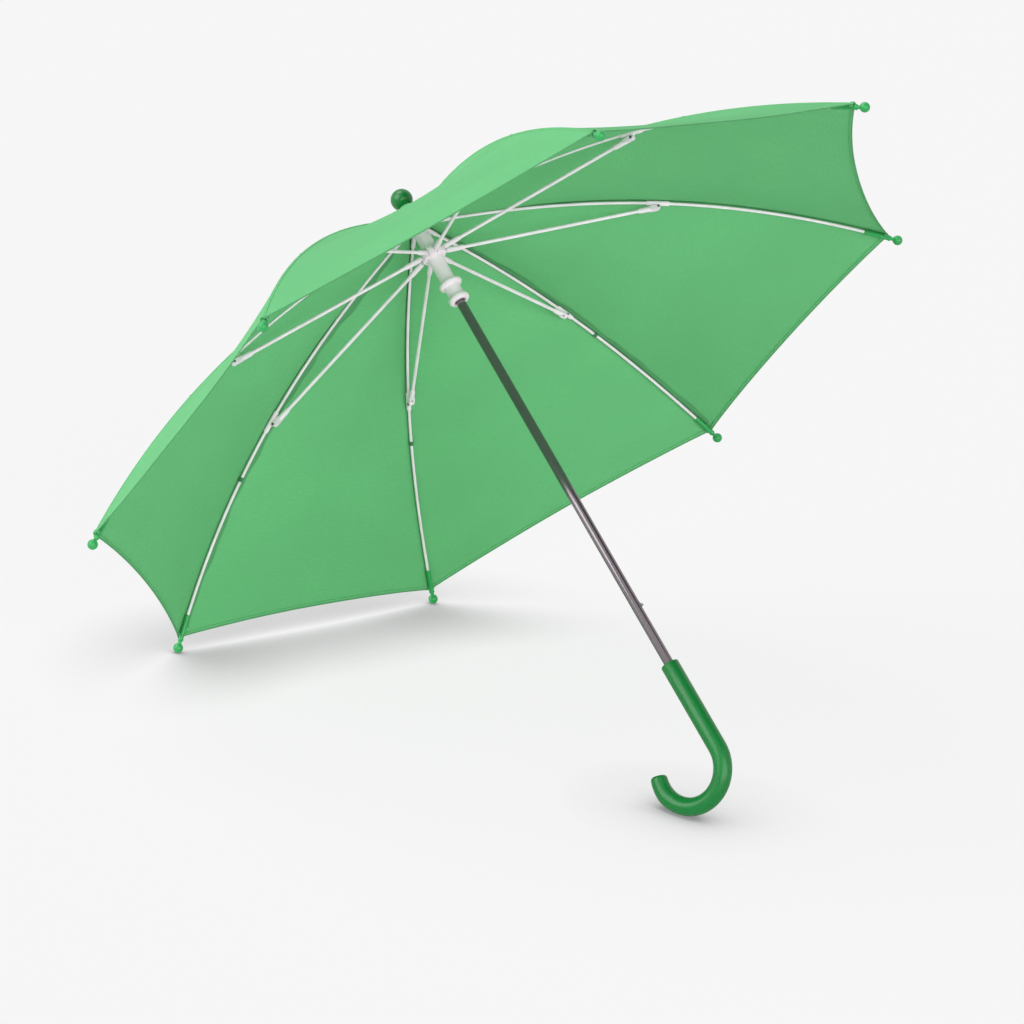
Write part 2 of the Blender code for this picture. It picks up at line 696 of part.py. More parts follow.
def make_runner():
    groove = WIRE_R + GAP
    floor = RING_WIRE_R - WIRE_R - GAP
    low, high = RING_Z - RING_HALF, RING_Z + RING_HALF
    profile = [
        (BORE_R, RUNNER_TOP),
        (RUNNER_R - 0.4 * MM, RUNNER_TOP),
        (RUNNER_R, RUNNER_TOP - 0.4 * MM),
        (RUNNER_R, high),
        (RING_R - 0.5 * MM, high),
        (RING_R, high - 0.5 * MM),
        (RING_R, RING_Z + groove),
        (floor, RING_Z + groove),
        (floor, RING_Z - groove),
        (RING_R, RING_Z - groove),
        (RING_R, low + 0.5 * MM),
        (RING_R - 0.5 * MM, low),
        (RUNNER_R, low - 1.5 * MM),
        (RUNNER_R, FLANGE_Z + FLANGE_HALF + 1.2 * MM),
        (FLANGE_R - 0.8 * MM, FLANGE_Z + FLANGE_HALF),
        (FLANGE_R, FLANGE_Z + 0.6 * MM),
        (FLANGE_R, FLANGE_Z - 0.6 * MM),
        (FLANGE_R - 0.8 * MM, FLANGE_Z - FLANGE_HALF),
        (WAIST_R + 0.5 * MM, FLANGE_Z - FLANGE_HALF - 1.0 * MM),
        (WAIST_R, (FLANGE_Z + MOUTH_FLANGE_Z) / 2),
        (WAIST_R + 0.5 * MM, MOUTH_FLANGE_Z + 3.2 * MM),
        (MOUTH_FLANGE_R - 0.7 * MM, MOUTH_FLANGE_Z + 1.6 * MM),
        (MOUTH_FLANGE_R, MOUTH_FLANGE_Z + 0.4 * MM),
        (MOUTH_FLANGE_R - 0.3 * MM, RUNNER_BOTTOM + 1.2 * MM),
        (MOUTH_FLANGE_R - 1.3 * MM, RUNNER_BOTTOM),
        (MOUTH_R, RUNNER_BOTTOM),
        (BORE_R, RUNNER_BOTTOM + 2.5 * MM),
    ]
    obj = turned("runner", profile, "white_plastic", steps=24, closed=True)
    inner = RUNNER_R + SLOT_FLOOR
    for k in range(RIBS):
        box = box_mesh(
            "ring_slot", (inner, -SLOT_W / 2, low - MM), (RING_R + MM, SLOT_W / 2, high + MM)
        )
        boolean(obj, cutter("ring_slot_%d" % k, box, Matrix.Rotation(azimuth(k), 4, "Z")))
    boolean(
        obj, window_box("runner_window", WINDOW_Z, WINDOW_HALF, WINDOW_W, SHAFT_R, RUNNER_R + MM)
    )
    return obj


def make_catch(name, z, lower):
    """Leaf spring inside the shaft with a nose through its slot. The arm ends at its anchor, local origin."""
    sign = 1 if lower else -1  # the flat face of the nose looks down on the lower catch, up on the upper one
    anchor = z + sign * CATCH_ARM
    flat, slope = z - sign * NOSE_HALF, z + sign * NOSE_HALF
    outline = [
        (CATCH_ARM_R, anchor),
        (CATCH_ARM_R, slope),
        (NOSE_OUT - 0.6 * MM, z + sign * 0.3 * MM),
        (NOSE_OUT, z - sign * 0.6 * MM),
        (NOSE_OUT, flat),
        (CATCH_ARM_R - CATCH_T, flat),
        (CATCH_ARM_R - CATCH_T, anchor),
    ]

    def build(bm):
        half = CATCH_W / 2
        rows = [[bm.verts.new((r, y, h - anchor)) for r, h in outline] for y in (-half, half)]
        count = len(outline)
        bm.faces.new(rows[0])
        bm.faces.new(list(reversed(rows[1])))
        for i in range(count):
            n = (i + 1) % count
            bm.faces.new((rows[0][i], rows[1][i], rows[1][n], rows[0][n]))

    place = Matrix.Rotation(math.radians(CATCH_DEG), 4, "Z") @ Matrix.Translation((0, 0, anchor))
    return node(name, mesh_of(name, build), "dark_steel", place)


def hook_points():
    a = math.radians(HOOK_DEG)
    out = Vector((math.cos(a), math.sin(a), 0))
    line = [
        (Vector((0, 0, HANDLE_TOP)), HANDLE_R - HANDLE_ROUND),
        (Vector((0, 0, HANDLE_TOP - HANDLE_ROUND * 0.4)), HANDLE_R - HANDLE_ROUND * 0.4),
        (Vector((0, 0, HANDLE_TOP - HANDLE_ROUND)), HANDLE_R),
    ]
    count = 13
    total = math.radians(HOOK_ARC_DEG)
    for i in range(count):
        b = total * i / (count - 1)
        height = HOOK_FROM - HOOK_R * math.sin(b)
        line.append((out * (HOOK_R - HOOK_R * math.cos(b)) + Vector((0, 0, height)), HANDLE_R))
    way = out * math.sin(total) - Vector((0, 0, math.cos(total)))
    end = line[-1][0]
    line.append((end + way * HANDLE_ROUND * 1.2, HANDLE_R - HANDLE_ROUND * 0.4))
    line.append((end + way * HANDLE_ROUND * 1.8, HANDLE_R - HANDLE_ROUND * 1.5))
    return line


def make_handle():
    line = hook_points()
    mesh = rod_mesh("handle", [p for p, _ in line], [w for _, w in line], 5, HANDLE_R)
    obj = node("handle", mesh, "green_plastic")
    bore = cylinder_mesh(
        "handle_bore", HANDLE_BORE_R, (0, 0, HANDLE_TOP + MM), (0, 0, SHAFT_BOTTOM - 0.5 * MM), 24
    )
    boolean(obj, cutter("handle_bore", bore))
    return obj


# ---- lay it on the floor ----------------------------------------------------------------------
def local_points(obj):
    graph = bpy.context.evaluated_depsgraph_get()
    held = obj.evaluated_get(graph)
    mesh = held.to_mesh()
    to_root = root.matrix_world.inverted() @ obj.matrix_world
    out = np.array([to_root @ v.co for v in mesh.vertices])
    held.to_mesh_clear()
    return out


def lie_down():
    """Lean the umbrella until two rib tips and the hook touch one plane, and centre it on the origin."""
    bpy.context.view_layer.update()
    shapes = {o.name: local_points(o) for o in groups[PARTS].objects if o.type == "MESH"}
    tips = np.vstack([shapes["tip_2"], shapes["tip_3"]])

    def rows(lean):
        s, c = math.sin(lean), math.cos(lean)
        return np.array([[-s, 0, -c], [0, -1, 0], [-c, 0, s]])

    low, high = math.radians(5), math.radians(80)
    for _ in range(60):
        lean = (low + high) / 2
        up = rows(lean)[2]
        if (shapes["handle"] @ up).min() < (tips @ up).min():
            high = lean
        else:
            low = lean
    turn = rows(lean)
    cloud = np.vstack(list(shapes.values())) @ turn.T
    least, most = cloud.min(0), cloud.max(0)
    shift = [-(least[0] + most[0]) / 2, -(least[1] + most[1]) / 2, -least[2]]
    root.matrix_world = Matrix.Translation(shift) @ Matrix(turn.tolist()).to_4x4()
    bpy.context.view_layer.update()


clear_scene()
groups = {PARTS: collection(PARTS), CUTTERS: collection(CUTTERS, hidden=True)}
root = bpy.data.objects.new("umbrella_axis", None)
groups[PARTS].objects.link(root)

make_shaft()
make_handle()
make_crown()
make_wire("crown_wire", CROWN_WIRE_R, CROWN_Z)
make_ferrule()
make_rosette()
make_runner()
make_wire("runner_wire", RING_WIRE_R, RING_Z)
make_catch("upper_catch", WINDOW_Z, False)
make_catch("lower_catch", WINDOW_Z - RUNNER_TRAVEL, True)
for k in range(RIBS):
    make_rib(k)
    make_joint(k)
    make_pin(k)
    make_stretcher(k)
    make_tip(k)
    make_panel(k)
make_strap()
lie_down()
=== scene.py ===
"""A child's stick umbrella, open on a pale floor: cloth, threads, mouldings, materials, light and camera.

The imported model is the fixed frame. Shapes are worked out upright round the shaft, in metres (Z up the
shaft, the tip balls at z = 0), with the model's own sizes, and then laid into the frame by the matrix `lay`.
"""

import json
import math

import bmesh
import bpy
import numpy as np
from mathutils import Matrix, Vector

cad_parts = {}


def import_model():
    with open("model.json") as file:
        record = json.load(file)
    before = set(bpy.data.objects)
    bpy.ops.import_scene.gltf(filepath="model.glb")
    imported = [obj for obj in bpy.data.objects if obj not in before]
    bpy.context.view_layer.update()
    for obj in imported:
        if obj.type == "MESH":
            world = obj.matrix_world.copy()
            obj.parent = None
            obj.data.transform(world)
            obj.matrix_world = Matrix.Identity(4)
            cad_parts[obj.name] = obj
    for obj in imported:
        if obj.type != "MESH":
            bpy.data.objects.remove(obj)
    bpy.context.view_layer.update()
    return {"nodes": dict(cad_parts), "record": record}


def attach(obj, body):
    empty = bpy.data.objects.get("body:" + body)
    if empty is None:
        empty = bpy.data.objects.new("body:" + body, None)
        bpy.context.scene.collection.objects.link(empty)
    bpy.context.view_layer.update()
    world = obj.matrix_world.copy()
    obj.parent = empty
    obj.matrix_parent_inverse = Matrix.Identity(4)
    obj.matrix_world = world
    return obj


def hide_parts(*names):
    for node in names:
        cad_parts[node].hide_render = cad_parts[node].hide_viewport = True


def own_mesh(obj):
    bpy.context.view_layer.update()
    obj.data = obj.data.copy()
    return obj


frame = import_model()

MM = 0.001
RIBS = 8
SAME_POINT = 1e-7

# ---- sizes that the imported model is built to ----
FIRST_RIB_DEG = 67.5
CANOPY_R = 375 * MM
CROWN_Z = 165 * MM
CROWN_WIRE_R = 7.5 * MM
BOW_R = 100 * MM
BOW_Z = 144.0 * MM
RIB_R = 1.25 * MM
RIB_END_R = 1.9 * MM
RIB_END_FROM = 5.5 * MM
RIB_END_TO = 21 * MM
RIB_STOP = 9.0 * MM  # from the tip ball's centre, inside the tip's sleeve
EYE_R = 1.5 * MM
EYE_HOLE_R = 0.8 * MM
EYE_THICK = 1.6 * MM
GAP = 0.3 * MM
JOINT_R = 198.5 * MM
JOINT_Z = 105 * MM
PIN_DROP = 4.0 * MM
PIN_R = 0.8 * MM
PIN_HEAD_R = 1.15 * MM
PIN_LENGTH = 6.0 * MM
BLOCK_LENGTH = 20 * MM
BLOCK_R = 2.1 * MM
WEB_THICK = 1.8 * MM
WEB_R = 1.9 * MM
FORK_GAP = 2.4 * MM
CHEEK_THICK = 1.3 * MM
CHEEK_R = 1.85 * MM
CHEEK_LENGTH = 7.0 * MM
SOCKET_R = 2.35 * MM
SOCKET_LENGTH = 11 * MM
STRETCHER_R = 1.45 * MM
STRETCHER_END_R = 2.3 * MM
STRETCHER_END_FROM = 4.2 * MM
STRETCHER_END_TO = 19 * MM
NECK_HALF = 1.25 * MM
FLAT_EDGE = 0.15 * MM  # rounding of the edges of flat parts
TIP_BALL_R = 4.2 * MM
TIP_NECK_R = 1.5 * MM
TIP_SLEEVE_R = 2.1 * MM
TIP_COLLAR_R = 2.45 * MM
TIP_LENGTH = 29 * MM
TIP_COLLAR_AT = 6.8 * MM
CANOPY_OVER_RIB = 3.0 * MM
CANOPY_TOP_RISE = 5.3 * MM
CANOPY_TOP_FADE = 12 * MM
CANOPY_HOLE_R = 4.2 * MM
HEM_AT = 8.4 * MM
HEM_DIP = 7.0 * MM
HEM_DIP_POWER = 0.9
HEM_DIP_MORE = {4: 5 * MM}  # the slacker hem, by panel
HEM_SAG = 4.0 * MM
MID_SAG = 10.8 * MM
MID_SAG_POWER = 0.66
SHAFT_R = 4.0 * MM
SHAFT_BORE_R = 3.5 * MM
SHAFT_TOP = 172 * MM
SHAFT_BOTTOM = -330 * MM
CROWN_R = 10 * MM
CROWN_HALF = 3.5 * MM
SLOT_W = 2.4 * MM
BORE_R = 4.3 * MM
BALL_Z = 191.5 * MM
BALL_R = 9.3 * MM
STEM_R = 3.0 * MM
STEM_BOTTOM = 164 * MM
ROSETTE_R = 7.0 * MM
ROSETTE_Z = 174.2 * MM
ROSETTE_H = 4.6 * MM
RING_Z = 135.0 * MM
RING_WIRE_R = 8.9 * MM
RING_R = 10.5 * MM
RING_HALF = 3.5 * MM
RUNNER_R = 6.35 * MM
RUNNER_TOP = 156 * MM
SLOT_FLOOR = 0.55 * MM
FLANGE_Z = 104.1 * MM
FLANGE_R = 10.0 * MM
FLANGE_HALF = 1.9 * MM
MOUTH_FLANGE_R = 9.0 * MM
MOUTH_FLANGE_Z = 89.7 * MM
RUNNER_BOTTOM = 86.7 * MM
WAIST_R = 6.5 * MM
MOUTH_R = 5.0 * MM
WINDOW_Z = 141.6 * MM
WINDOW_HALF = 3.0 * MM
WINDOW_W = 3.0 * MM
CATCH_DEG = 210.0
CATCH_W = 1.6 * MM
NOSE_HALF = 2.0 * MM
HANDLE_R = 7.5 * MM
HANDLE_TOP = -271.9 * MM
HOOK_FROM = -350.1 * MM
HOOK_R = 30.4 * MM
HOOK_ARC_DEG = 198.0
HOOK_DEG = 17.2
HANDLE_BORE_R = 4.2 * MM
HANDLE_END = 1.8 * MM
HANDLE_LIP = 0.8 * MM
HANDLE_TAPER_DEG = 30  # of the bend, before its end
HANDLE_TAPER = 0.8 * MM
HANDLE_TUCK = 0.9 * MM
HANDLE_ROUND = 3.0 * MM
STRAP_L = 70 * MM
STRAP_W = 16 * MM
STRAP_PANEL = 4
STRAP_ABOVE_HEM = 0.10
STRAP_CORNER = 5 * MM
STRAP_PUFF = 0.55 * MM
STRAP_STITCH = 1.6 * MM

# ---- cloth ----
ROWS = 56
COLUMNS = 18  # across half a panel
HEM_WIDTH = 2.6 * MM
HEM_THICK = 0.9 * MM
HEM_STITCH = 1.9 * MM
SEAM_WIDTH = 6 * MM
SEAM_LIFT = 0.35 * MM
SEAM_STITCH = 2.1 * MM
SEAM_FROM = 0.035  # where the seam's band starts, from the top hole (0) to the hem (1)
ALLOWANCE_FROM = 0.05
ALLOWANCE_TO = 0.985
ALLOWANCE_DEPTH = 0.8 * MM
NO_EDGE = 0.02  # far enough from a cut edge for an even tone
NO_STITCH = 0.01  # far enough from a stitch line to show none
RIPPLE = 0.45 * MM
CLOTH_SHIFT = 0.31  # between the cloth's patterns on two panels
TIE_R = {0: 243, 1: 249.5, 2: 241.5, 3: 237.5, 5: 243, 6: 243, 7: 243}  # mm out, of the thread on rib k
TIE_HALF = 2.0 * MM
TIE_WALL = 0.35 * MM
TIE_SWELL = 0.28 * MM
TIE_TURNS = 4
TIE_POST_R = 0.9 * MM
TACK_LOOPS = 4
TACK_PITCH = 0.75 * MM
TACK_OVER = 3.9 * MM
TACK_BESIDE = 2.7 * MM
TACK_REACH_DEG = 100
TACK_R = 0.36 * MM
FIN_WIDTH = {0: 5, 1: 8, 2: 2.6, 3: 6.2, 4: 2, 5: 2, 6: 4, 7: 4}  # mm, seam allowance inside, by rib
COLLAR_TOP = 9.6 * MM  # of the gathered collar, over its foot
DISC_R = 14 * MM  # of the round patch of cloth at the canopy's centre
PLEATS = 16
PLEAT_DEPTH = 0.28 * MM

# ---- view and light ----
CAMERA_TARGET = Vector((0.0103, -0.0289, 0.1881))
CAMERA_DISTANCE = 3.775
CAMERA_AZIMUTH = -44.44  # from the target to the camera
CAMERA_ELEVATION = 17.41
CAMERA_ROLL = 6.23
LENS = 165.1
SENSOR = 36
FLOOR_HALF = 60
PAPER = 0.922  # the pale background, as light
FLOOR_GLOW = 0.92  # share of the floor's even tone that lies over its shadows for the camera
CONTACT_REACH = 0.12  # how far from the floor the object still darkens it
CONTACT_TONE = 0.30  # tone of the floor right beside what touches it
CONTACT_OPEN = 0.4  # openness below which the floor is at that tone
CONTACT_FROM = Vector((0.72, -0.08, 0.69))  # side that the contact shadow falls away from
WORLD_LIGHT = 0.28
CARD_AT = Vector((0.60, 0.35, 2.0))
CARD_R = 0.85
LAMPS = [  # name, azimuth and elevation of the lamp, its share of a level surface's light, softness
    ("front", -20, 8, 0.105, 60),
    ("side", 250, 30, 0.30, 50),
    ("top", 205, 62, 0.29, 40),
]


# ---- the umbrella's own frame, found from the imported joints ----
def hinge(k):
    return "fold" if k == 0 else "rib_%d_swing" % (k + 1)


joints = {joint["name"]: joint for joint in frame["record"]["behaviour"]["joints"]}
wire = [Vector(joints[hinge(k)]["pos_m"]) for k in range(RIBS)]
crown_centre = sum(wire, Vector()) / RIBS
along_shaft = -Vector(joints["runner_slide"]["axis"]).normalized()
between = ((wire[1] + wire[2]) / 2 - crown_centre).normalized()
lay = Matrix((between, along_shaft.cross(between), along_shaft)).transposed().to_4x4()
lay.translation = crown_centre - along_shaft * CROWN_Z


def azimuth(k):
    return math.radians(FIRST_RIB_DEG - 360.0 * k / RIBS)


def outward(k):
    return Vector((math.cos(azimuth(k)), math.sin(azimuth(k)), 0))


def rib_name(k):
    return "rib_%d" % (k % RIBS + 1)


def in_plane(k, r, z):
    """Matrix of a frame at (r, z) in rib k's plane: X outward, Y tangential, Z up."""
    return Matrix.Rotation(azimuth(k), 4, "Z") @ Matrix.Translation((r, 0, z))


# ---- the rib's curve and the cloth over it ----
_slope = -CROWN_Z / (CANOPY_R - CROWN_WIRE_R)
_k = 1 / math.hypot(1, _slope)
PIN_ON_RIB_R = JOINT_R - PIN_DROP * _slope * _k
PIN_ON_RIB_Z = JOINT_Z + PIN_DROP * _k
CURVE = np.polyfit([CROWN_WIRE_R, BOW_R, PIN_ON_RIB_R, CANOPY_R], [CROWN_Z, BOW_Z, PIN_ON_RIB_Z, 0.0], 3)
CURVE_SLOPE = np.polyder(CURVE)


def rib_z(r):
    return float(np.polyval(CURVE, r))


def rib_slope(r):
    return float(np.polyval(CURVE_SLOPE, r))


def rib_back(s):
    """The rib's radius at a length s back from the tip ball's centre."""
    r = CANOPY_R
    for _ in range(24):
        r -= s / 24 / math.hypot(1, rib_slope(r))
    return r


HEM_R = rib_back(HEM_AT)


def seam(r):
    """(radius, height) of the cloth over the rib at radius r."""
    rise = CANOPY_OVER_RIB + CANOPY_TOP_RISE * math.exp(-max(r - CROWN_R * 0.8, 0) / CANOPY_TOP_FADE)
    s = rib_slope(r)
    k = 1 / math.hypot(1, s)
    return r - s * k * rise, rib_z(r) + k * rise


def canopy_point(k, u, v):
    """A point of the panel between rib k and rib k + 1: u across it, v from the top hole to the hem."""
    r = CANOPY_HOLE_R + (HEM_R - CANOPY_HOLE_R) * v
    sr, sz = seam(r)
    first = outward(k) * sr + Vector((0, 0, sz))
    last = outward(k + 1) * sr + Vector((0, 0, sz))
    middle = outward(k + 0.5)
    slope = rib_slope(r) / math.cos(math.pi / RIBS)
    c = 1 / math.hypot(1, slope)
    down = (middle + Vector((0, 0, slope))) * c
    out = (Vector((0, 0, 1)) - middle * slope) * c
    w = max(4 * u * (1 - u), 0)
    sag = HEM_SAG * v**4 + MID_SAG * math.sin(math.pi * min(v, 1) ** MID_SAG_POWER)
    drift = math.sin(6.3 * v + 2.1 * k) * math.sin(9.0 * v * u + 1.7 * k) * RIPPLE * w
    dip = (HEM_DIP + HEM_DIP_MORE.get(k % RIBS, 0.0)) * v**3 * w**HEM_DIP_POWER
    return first.lerp(last, u) - down * dip - out * (sag * w + drift)


def canopy_normal(k, u, v):
    """Unit normal on the outer side."""
    e = 0.004
    across = canopy_point(k, u + e, v) - canopy_point(k, u - e, v)
    down = canopy_point(k, u, v + e) - canopy_point(k, u, v - e)
    n = across.cross(down).normalized()
    return n if n.z > 0 else -n


def panel_width(k, v):
    return (canopy_point(k, 1, v) - canopy_point(k, 0, v)).length


def along_seam(k, start, end, rows):
    """(v, width of the panel there, length so far) down the seam over rib k."""
    length = 0.0
    before = None
    for i in range(rows + 1):
        v = start + (end - start) * i / rows
        here = canopy_point(k, 0, v)
        length += (here - before).length if before else 0.0
        before = here
        yield v, panel_width(k, v), length


# ---- mesh helpers ----
def mesh_from(points, faces):
    mesh = bpy.data.meshes.new("made")
    mesh.from_pydata([tuple(p) for p in points], [], faces)
    return mesh


def grid_faces(rows, cols, wrap=False, start=0):
    last = cols if wrap else cols - 1
    return [
        (
            start + i * cols + j,
            start + i * cols + (j + 1) % cols,
            start + (i + 1) * cols + (j + 1) % cols,
            start + (i + 1) * cols + j,
        )
        for i in range(rows - 1)
        for j in range(last)
    ]


def tidy(mesh):
    bm = bmesh.new()
    bm.from_mesh(mesh)
    bmesh.ops.remove_doubles(bm, verts=bm.verts, dist=SAME_POINT)
    bmesh.ops.recalc_face_normals(bm, faces=bm.faces)
    bm.to_mesh(mesh)
    bm.free()
    return mesh


def turned(profile, steps, closed=False):
    """A shape turned about local Z from (radius, height) points."""
    ring = [2 * math.pi * j / steps for j in range(steps)]
    rows = list(profile) + ([profile[0]] if closed else [])
    points = [(r * math.cos(a), r * math.sin(a), z) for r, z in rows for a in ring]
    return tidy(mesh_from(points, grid_faces(len(rows), steps, wrap=True)))


def swept(stations, side, sides=14):
    """A round bar with flat ends through (point, direction, radius) stations in the plane normal to side."""
    points = []
    side = Vector(side)
    for centre, way, wide in stations:
        other = Vector(way).normalized().cross(side)
        for j in range(sides):
            a = 2 * math.pi * j / sides
            points.append(Vector(centre) + side * (wide * math.cos(a)) + other * (wide * math.sin(a)))
    faces = grid_faces(len(stations), sides, wrap=True)
    faces.append(tuple(range(sides)))
    faces.append(tuple(range(len(points) - sides, len(points))))
    return tidy(mesh_from(points, faces))


def straight(start, way, spots):
    """Stations along a straight line from (distance, radius) pairs."""
    way = Vector(way).normalized()
    return [(Vector(start) + way * s, way, r) for s, r in spots]


def arc(radius, middle, start_deg, end_deg, count):
    out = []
    for i in range(count):
        a = math.radians(start_deg + (end_deg - start_deg) * i / (count - 1))
        out.append((radius * math.sin(a), middle + radius * math.cos(a)))
    return out


def box(low, high):
    bm = bmesh.new()
    bmesh.ops.create_cube(bm, size=1.0)
    bmesh.ops.scale(bm, vec=[b - a for a, b in zip(low, high)], verts=bm.verts)
    bmesh.ops.translate(bm, vec=[(a + b) / 2 for a, b in zip(low, high)], verts=bm.verts)
    mesh = bpy.data.meshes.new("box")
    bm.to_mesh(mesh)
    bm.free()
    return mesh


def together(meshes):
    bm = bmesh.new()
    for mesh in meshes:
        bm.from_mesh(mesh)
    out = bpy.data.meshes.new("together")
    bm.to_mesh(out)
    bm.free()
    return out


def moved(mesh, matrix):
    mesh.transform(matrix)
    return mesh


def carved(mesh, cutters, bevel, segments=3):
    """The mesh less its cutters, with its edges rounded."""
    scene = bpy.context.scene
    body = bpy.data.objects.new("carved_body", mesh)
    tool = bpy.data.objects.new("carved_tool", together(cutters))
    scene.collection.objects.link(body)
    scene.collection.objects.link(tool)
    cut = body.modifiers.new("cut", "BOOLEAN")
    cut.operation = "DIFFERENCE"
    cut.solver = "EXACT"
    cut.object = tool
    rounding = body.modifiers.new("rounding", "BEVEL")
    rounding.width = bevel
    rounding.segments = segments
    rounding.limit_method = "ANGLE"
    rounding.angle_limit = math.radians(32)
    bpy.context.view_layer.update()
    out = bpy.data.meshes.new_from_object(body.evaluated_get(bpy.context.evaluated_depsgraph_get()))
    for obj in (body, tool):
        bpy.data.objects.remove(obj, do_unlink=True)
    return out


def piece(name, mesh, material, body, stands_for=(), at=None, sharp=40):
    """A shown piece at a matrix of the umbrella's own frame, riding on a body."""
    mesh.name = name
    mesh.transform(lay @ (at or Matrix.Identity(4)))
    mesh.materials.clear()
    mesh.materials.append(material)
    mesh.shade_smooth()
    mesh.set_sharp_from_angle(angle=math.radians(sharp))
    obj = bpy.data.objects.new(name, mesh)
    bpy.context.scene.collection.objects.link(obj)
    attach(obj, body)
    if stands_for:
        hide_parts(*stands_for)
    return obj


# ---- materials ----
class Surface:
    """A Principled material and the few nodes that its colour and relief are made of."""

    def __init__(self, name, **values):
        self.material = bpy.data.materials.new(name)
        self.material.use_nodes = True
        self.tree = self.material.node_tree
        self.shader = self.tree.nodes["Principled BSDF"]
        for key, value in values.items():
            self.shader.inputs[key.replace("_", " ")].default_value = value

    def add(self, kind, **inputs):
        node = self.tree.nodes.new("ShaderNode" + kind)
        for key, value in inputs.items():
            self.put(node.inputs[key.replace("_", " ")], value)
        return node

    def put(self, socket, value):
        if isinstance(value, bpy.types.NodeSocket):
            self.tree.links.new(value, socket)
        else:
            socket.default_value = value

    def math(self, operation, first, second=0.0, third=0.0):
        node = self.tree.nodes.new("ShaderNodeMath")
        node.operation = operation
        for socket, value in zip(node.inputs, (first, second, third)):
            self.put(socket, value)
        return node.outputs[0]

    def noise(self, vector, scale, detail):
        return self.add("TexNoise", Vector=vector, Scale=scale, Detail=detail).outputs["Fac"]

    def stretch(self, value, low, high, to_low=0.0, to_high=1.0):
        node = self.tree.nodes.new("ShaderNodeMapRange")
        for socket, entry in zip(node.inputs, (value, low, high, to_low, to_high)):
            self.put(socket, entry)
        return node.outputs[0]

    def blend(self, factor, first, second):
        node = self.tree.nodes.new("ShaderNodeMix")
        node.data_type = "RGBA"
        self.put(node.inputs[0], factor)
        self.put(node.inputs[6], first)
        self.put(node.inputs[7], second)
        return node.outputs[2]

    def relief(self, height, distance, strength=1.0):
        """Adds one layer of relief over the ones before it."""
        node = self.add("Bump", Strength=strength, Distance=distance, Height=height)
        before = self.shader.inputs["Normal"].links
        if before:
            self.tree.links.new(before[0].from_socket, node.inputs["Normal"])
        self.tree.links.new(node.outputs[0], self.shader.inputs["Normal"])

    def colour(self, value):
        self.put(self.shader.inputs["Base Color"], value)

    def roughness(self, value):
        self.put(self.shader.inputs["Roughness"], value)

    def place(self):
        return self.add("TexCoord").outputs["Object"]


def shade(colour, factor):
    return (*[min(c * factor, 1.0) for c in colour[:3]], 1.0)


CLOTH = (0.150, 0.530, 0.215, 1.0)
CLOUDS = (0.95, 1.05)  # shades of the cloth's broad, faint patches
SLUB_SHADE = 0.88
WEAVE_SHADE = 0.80
# painted shade in the furrow beside a stitch line
FURROW_PAINTED_SHADE = 0.45
STITCH_SHADE = 1.35
EDGE_SHADE = 0.36
CLOUD_SCALE = 11.0
SLUB_SCALE = 900.0
SLUB_LONG = 0.15
THREAD_PITCH = 0.34 * MM
STITCH = 2.6 * MM
STITCH_HALF = (0.22 * MM, 0.34 * MM)  # from the line's middle: full, gone
STITCH_ENDS = (0.34, 0.42)  # share of a stitch from its middle: full, gone
FURROW_HALF = 1.1 * MM
EDGE = (0.5 * MM, 1.1 * MM)  # from the cut edge: darkest, gone
PUCKER_LONG = 3 * STITCH
PUCKER_REACH = 7 * MM
PUCKER_DEEP = 0.10 * MM
WEAVE_DEEP = 0.05 * MM
STITCH_DEEP = 0.12 * MM


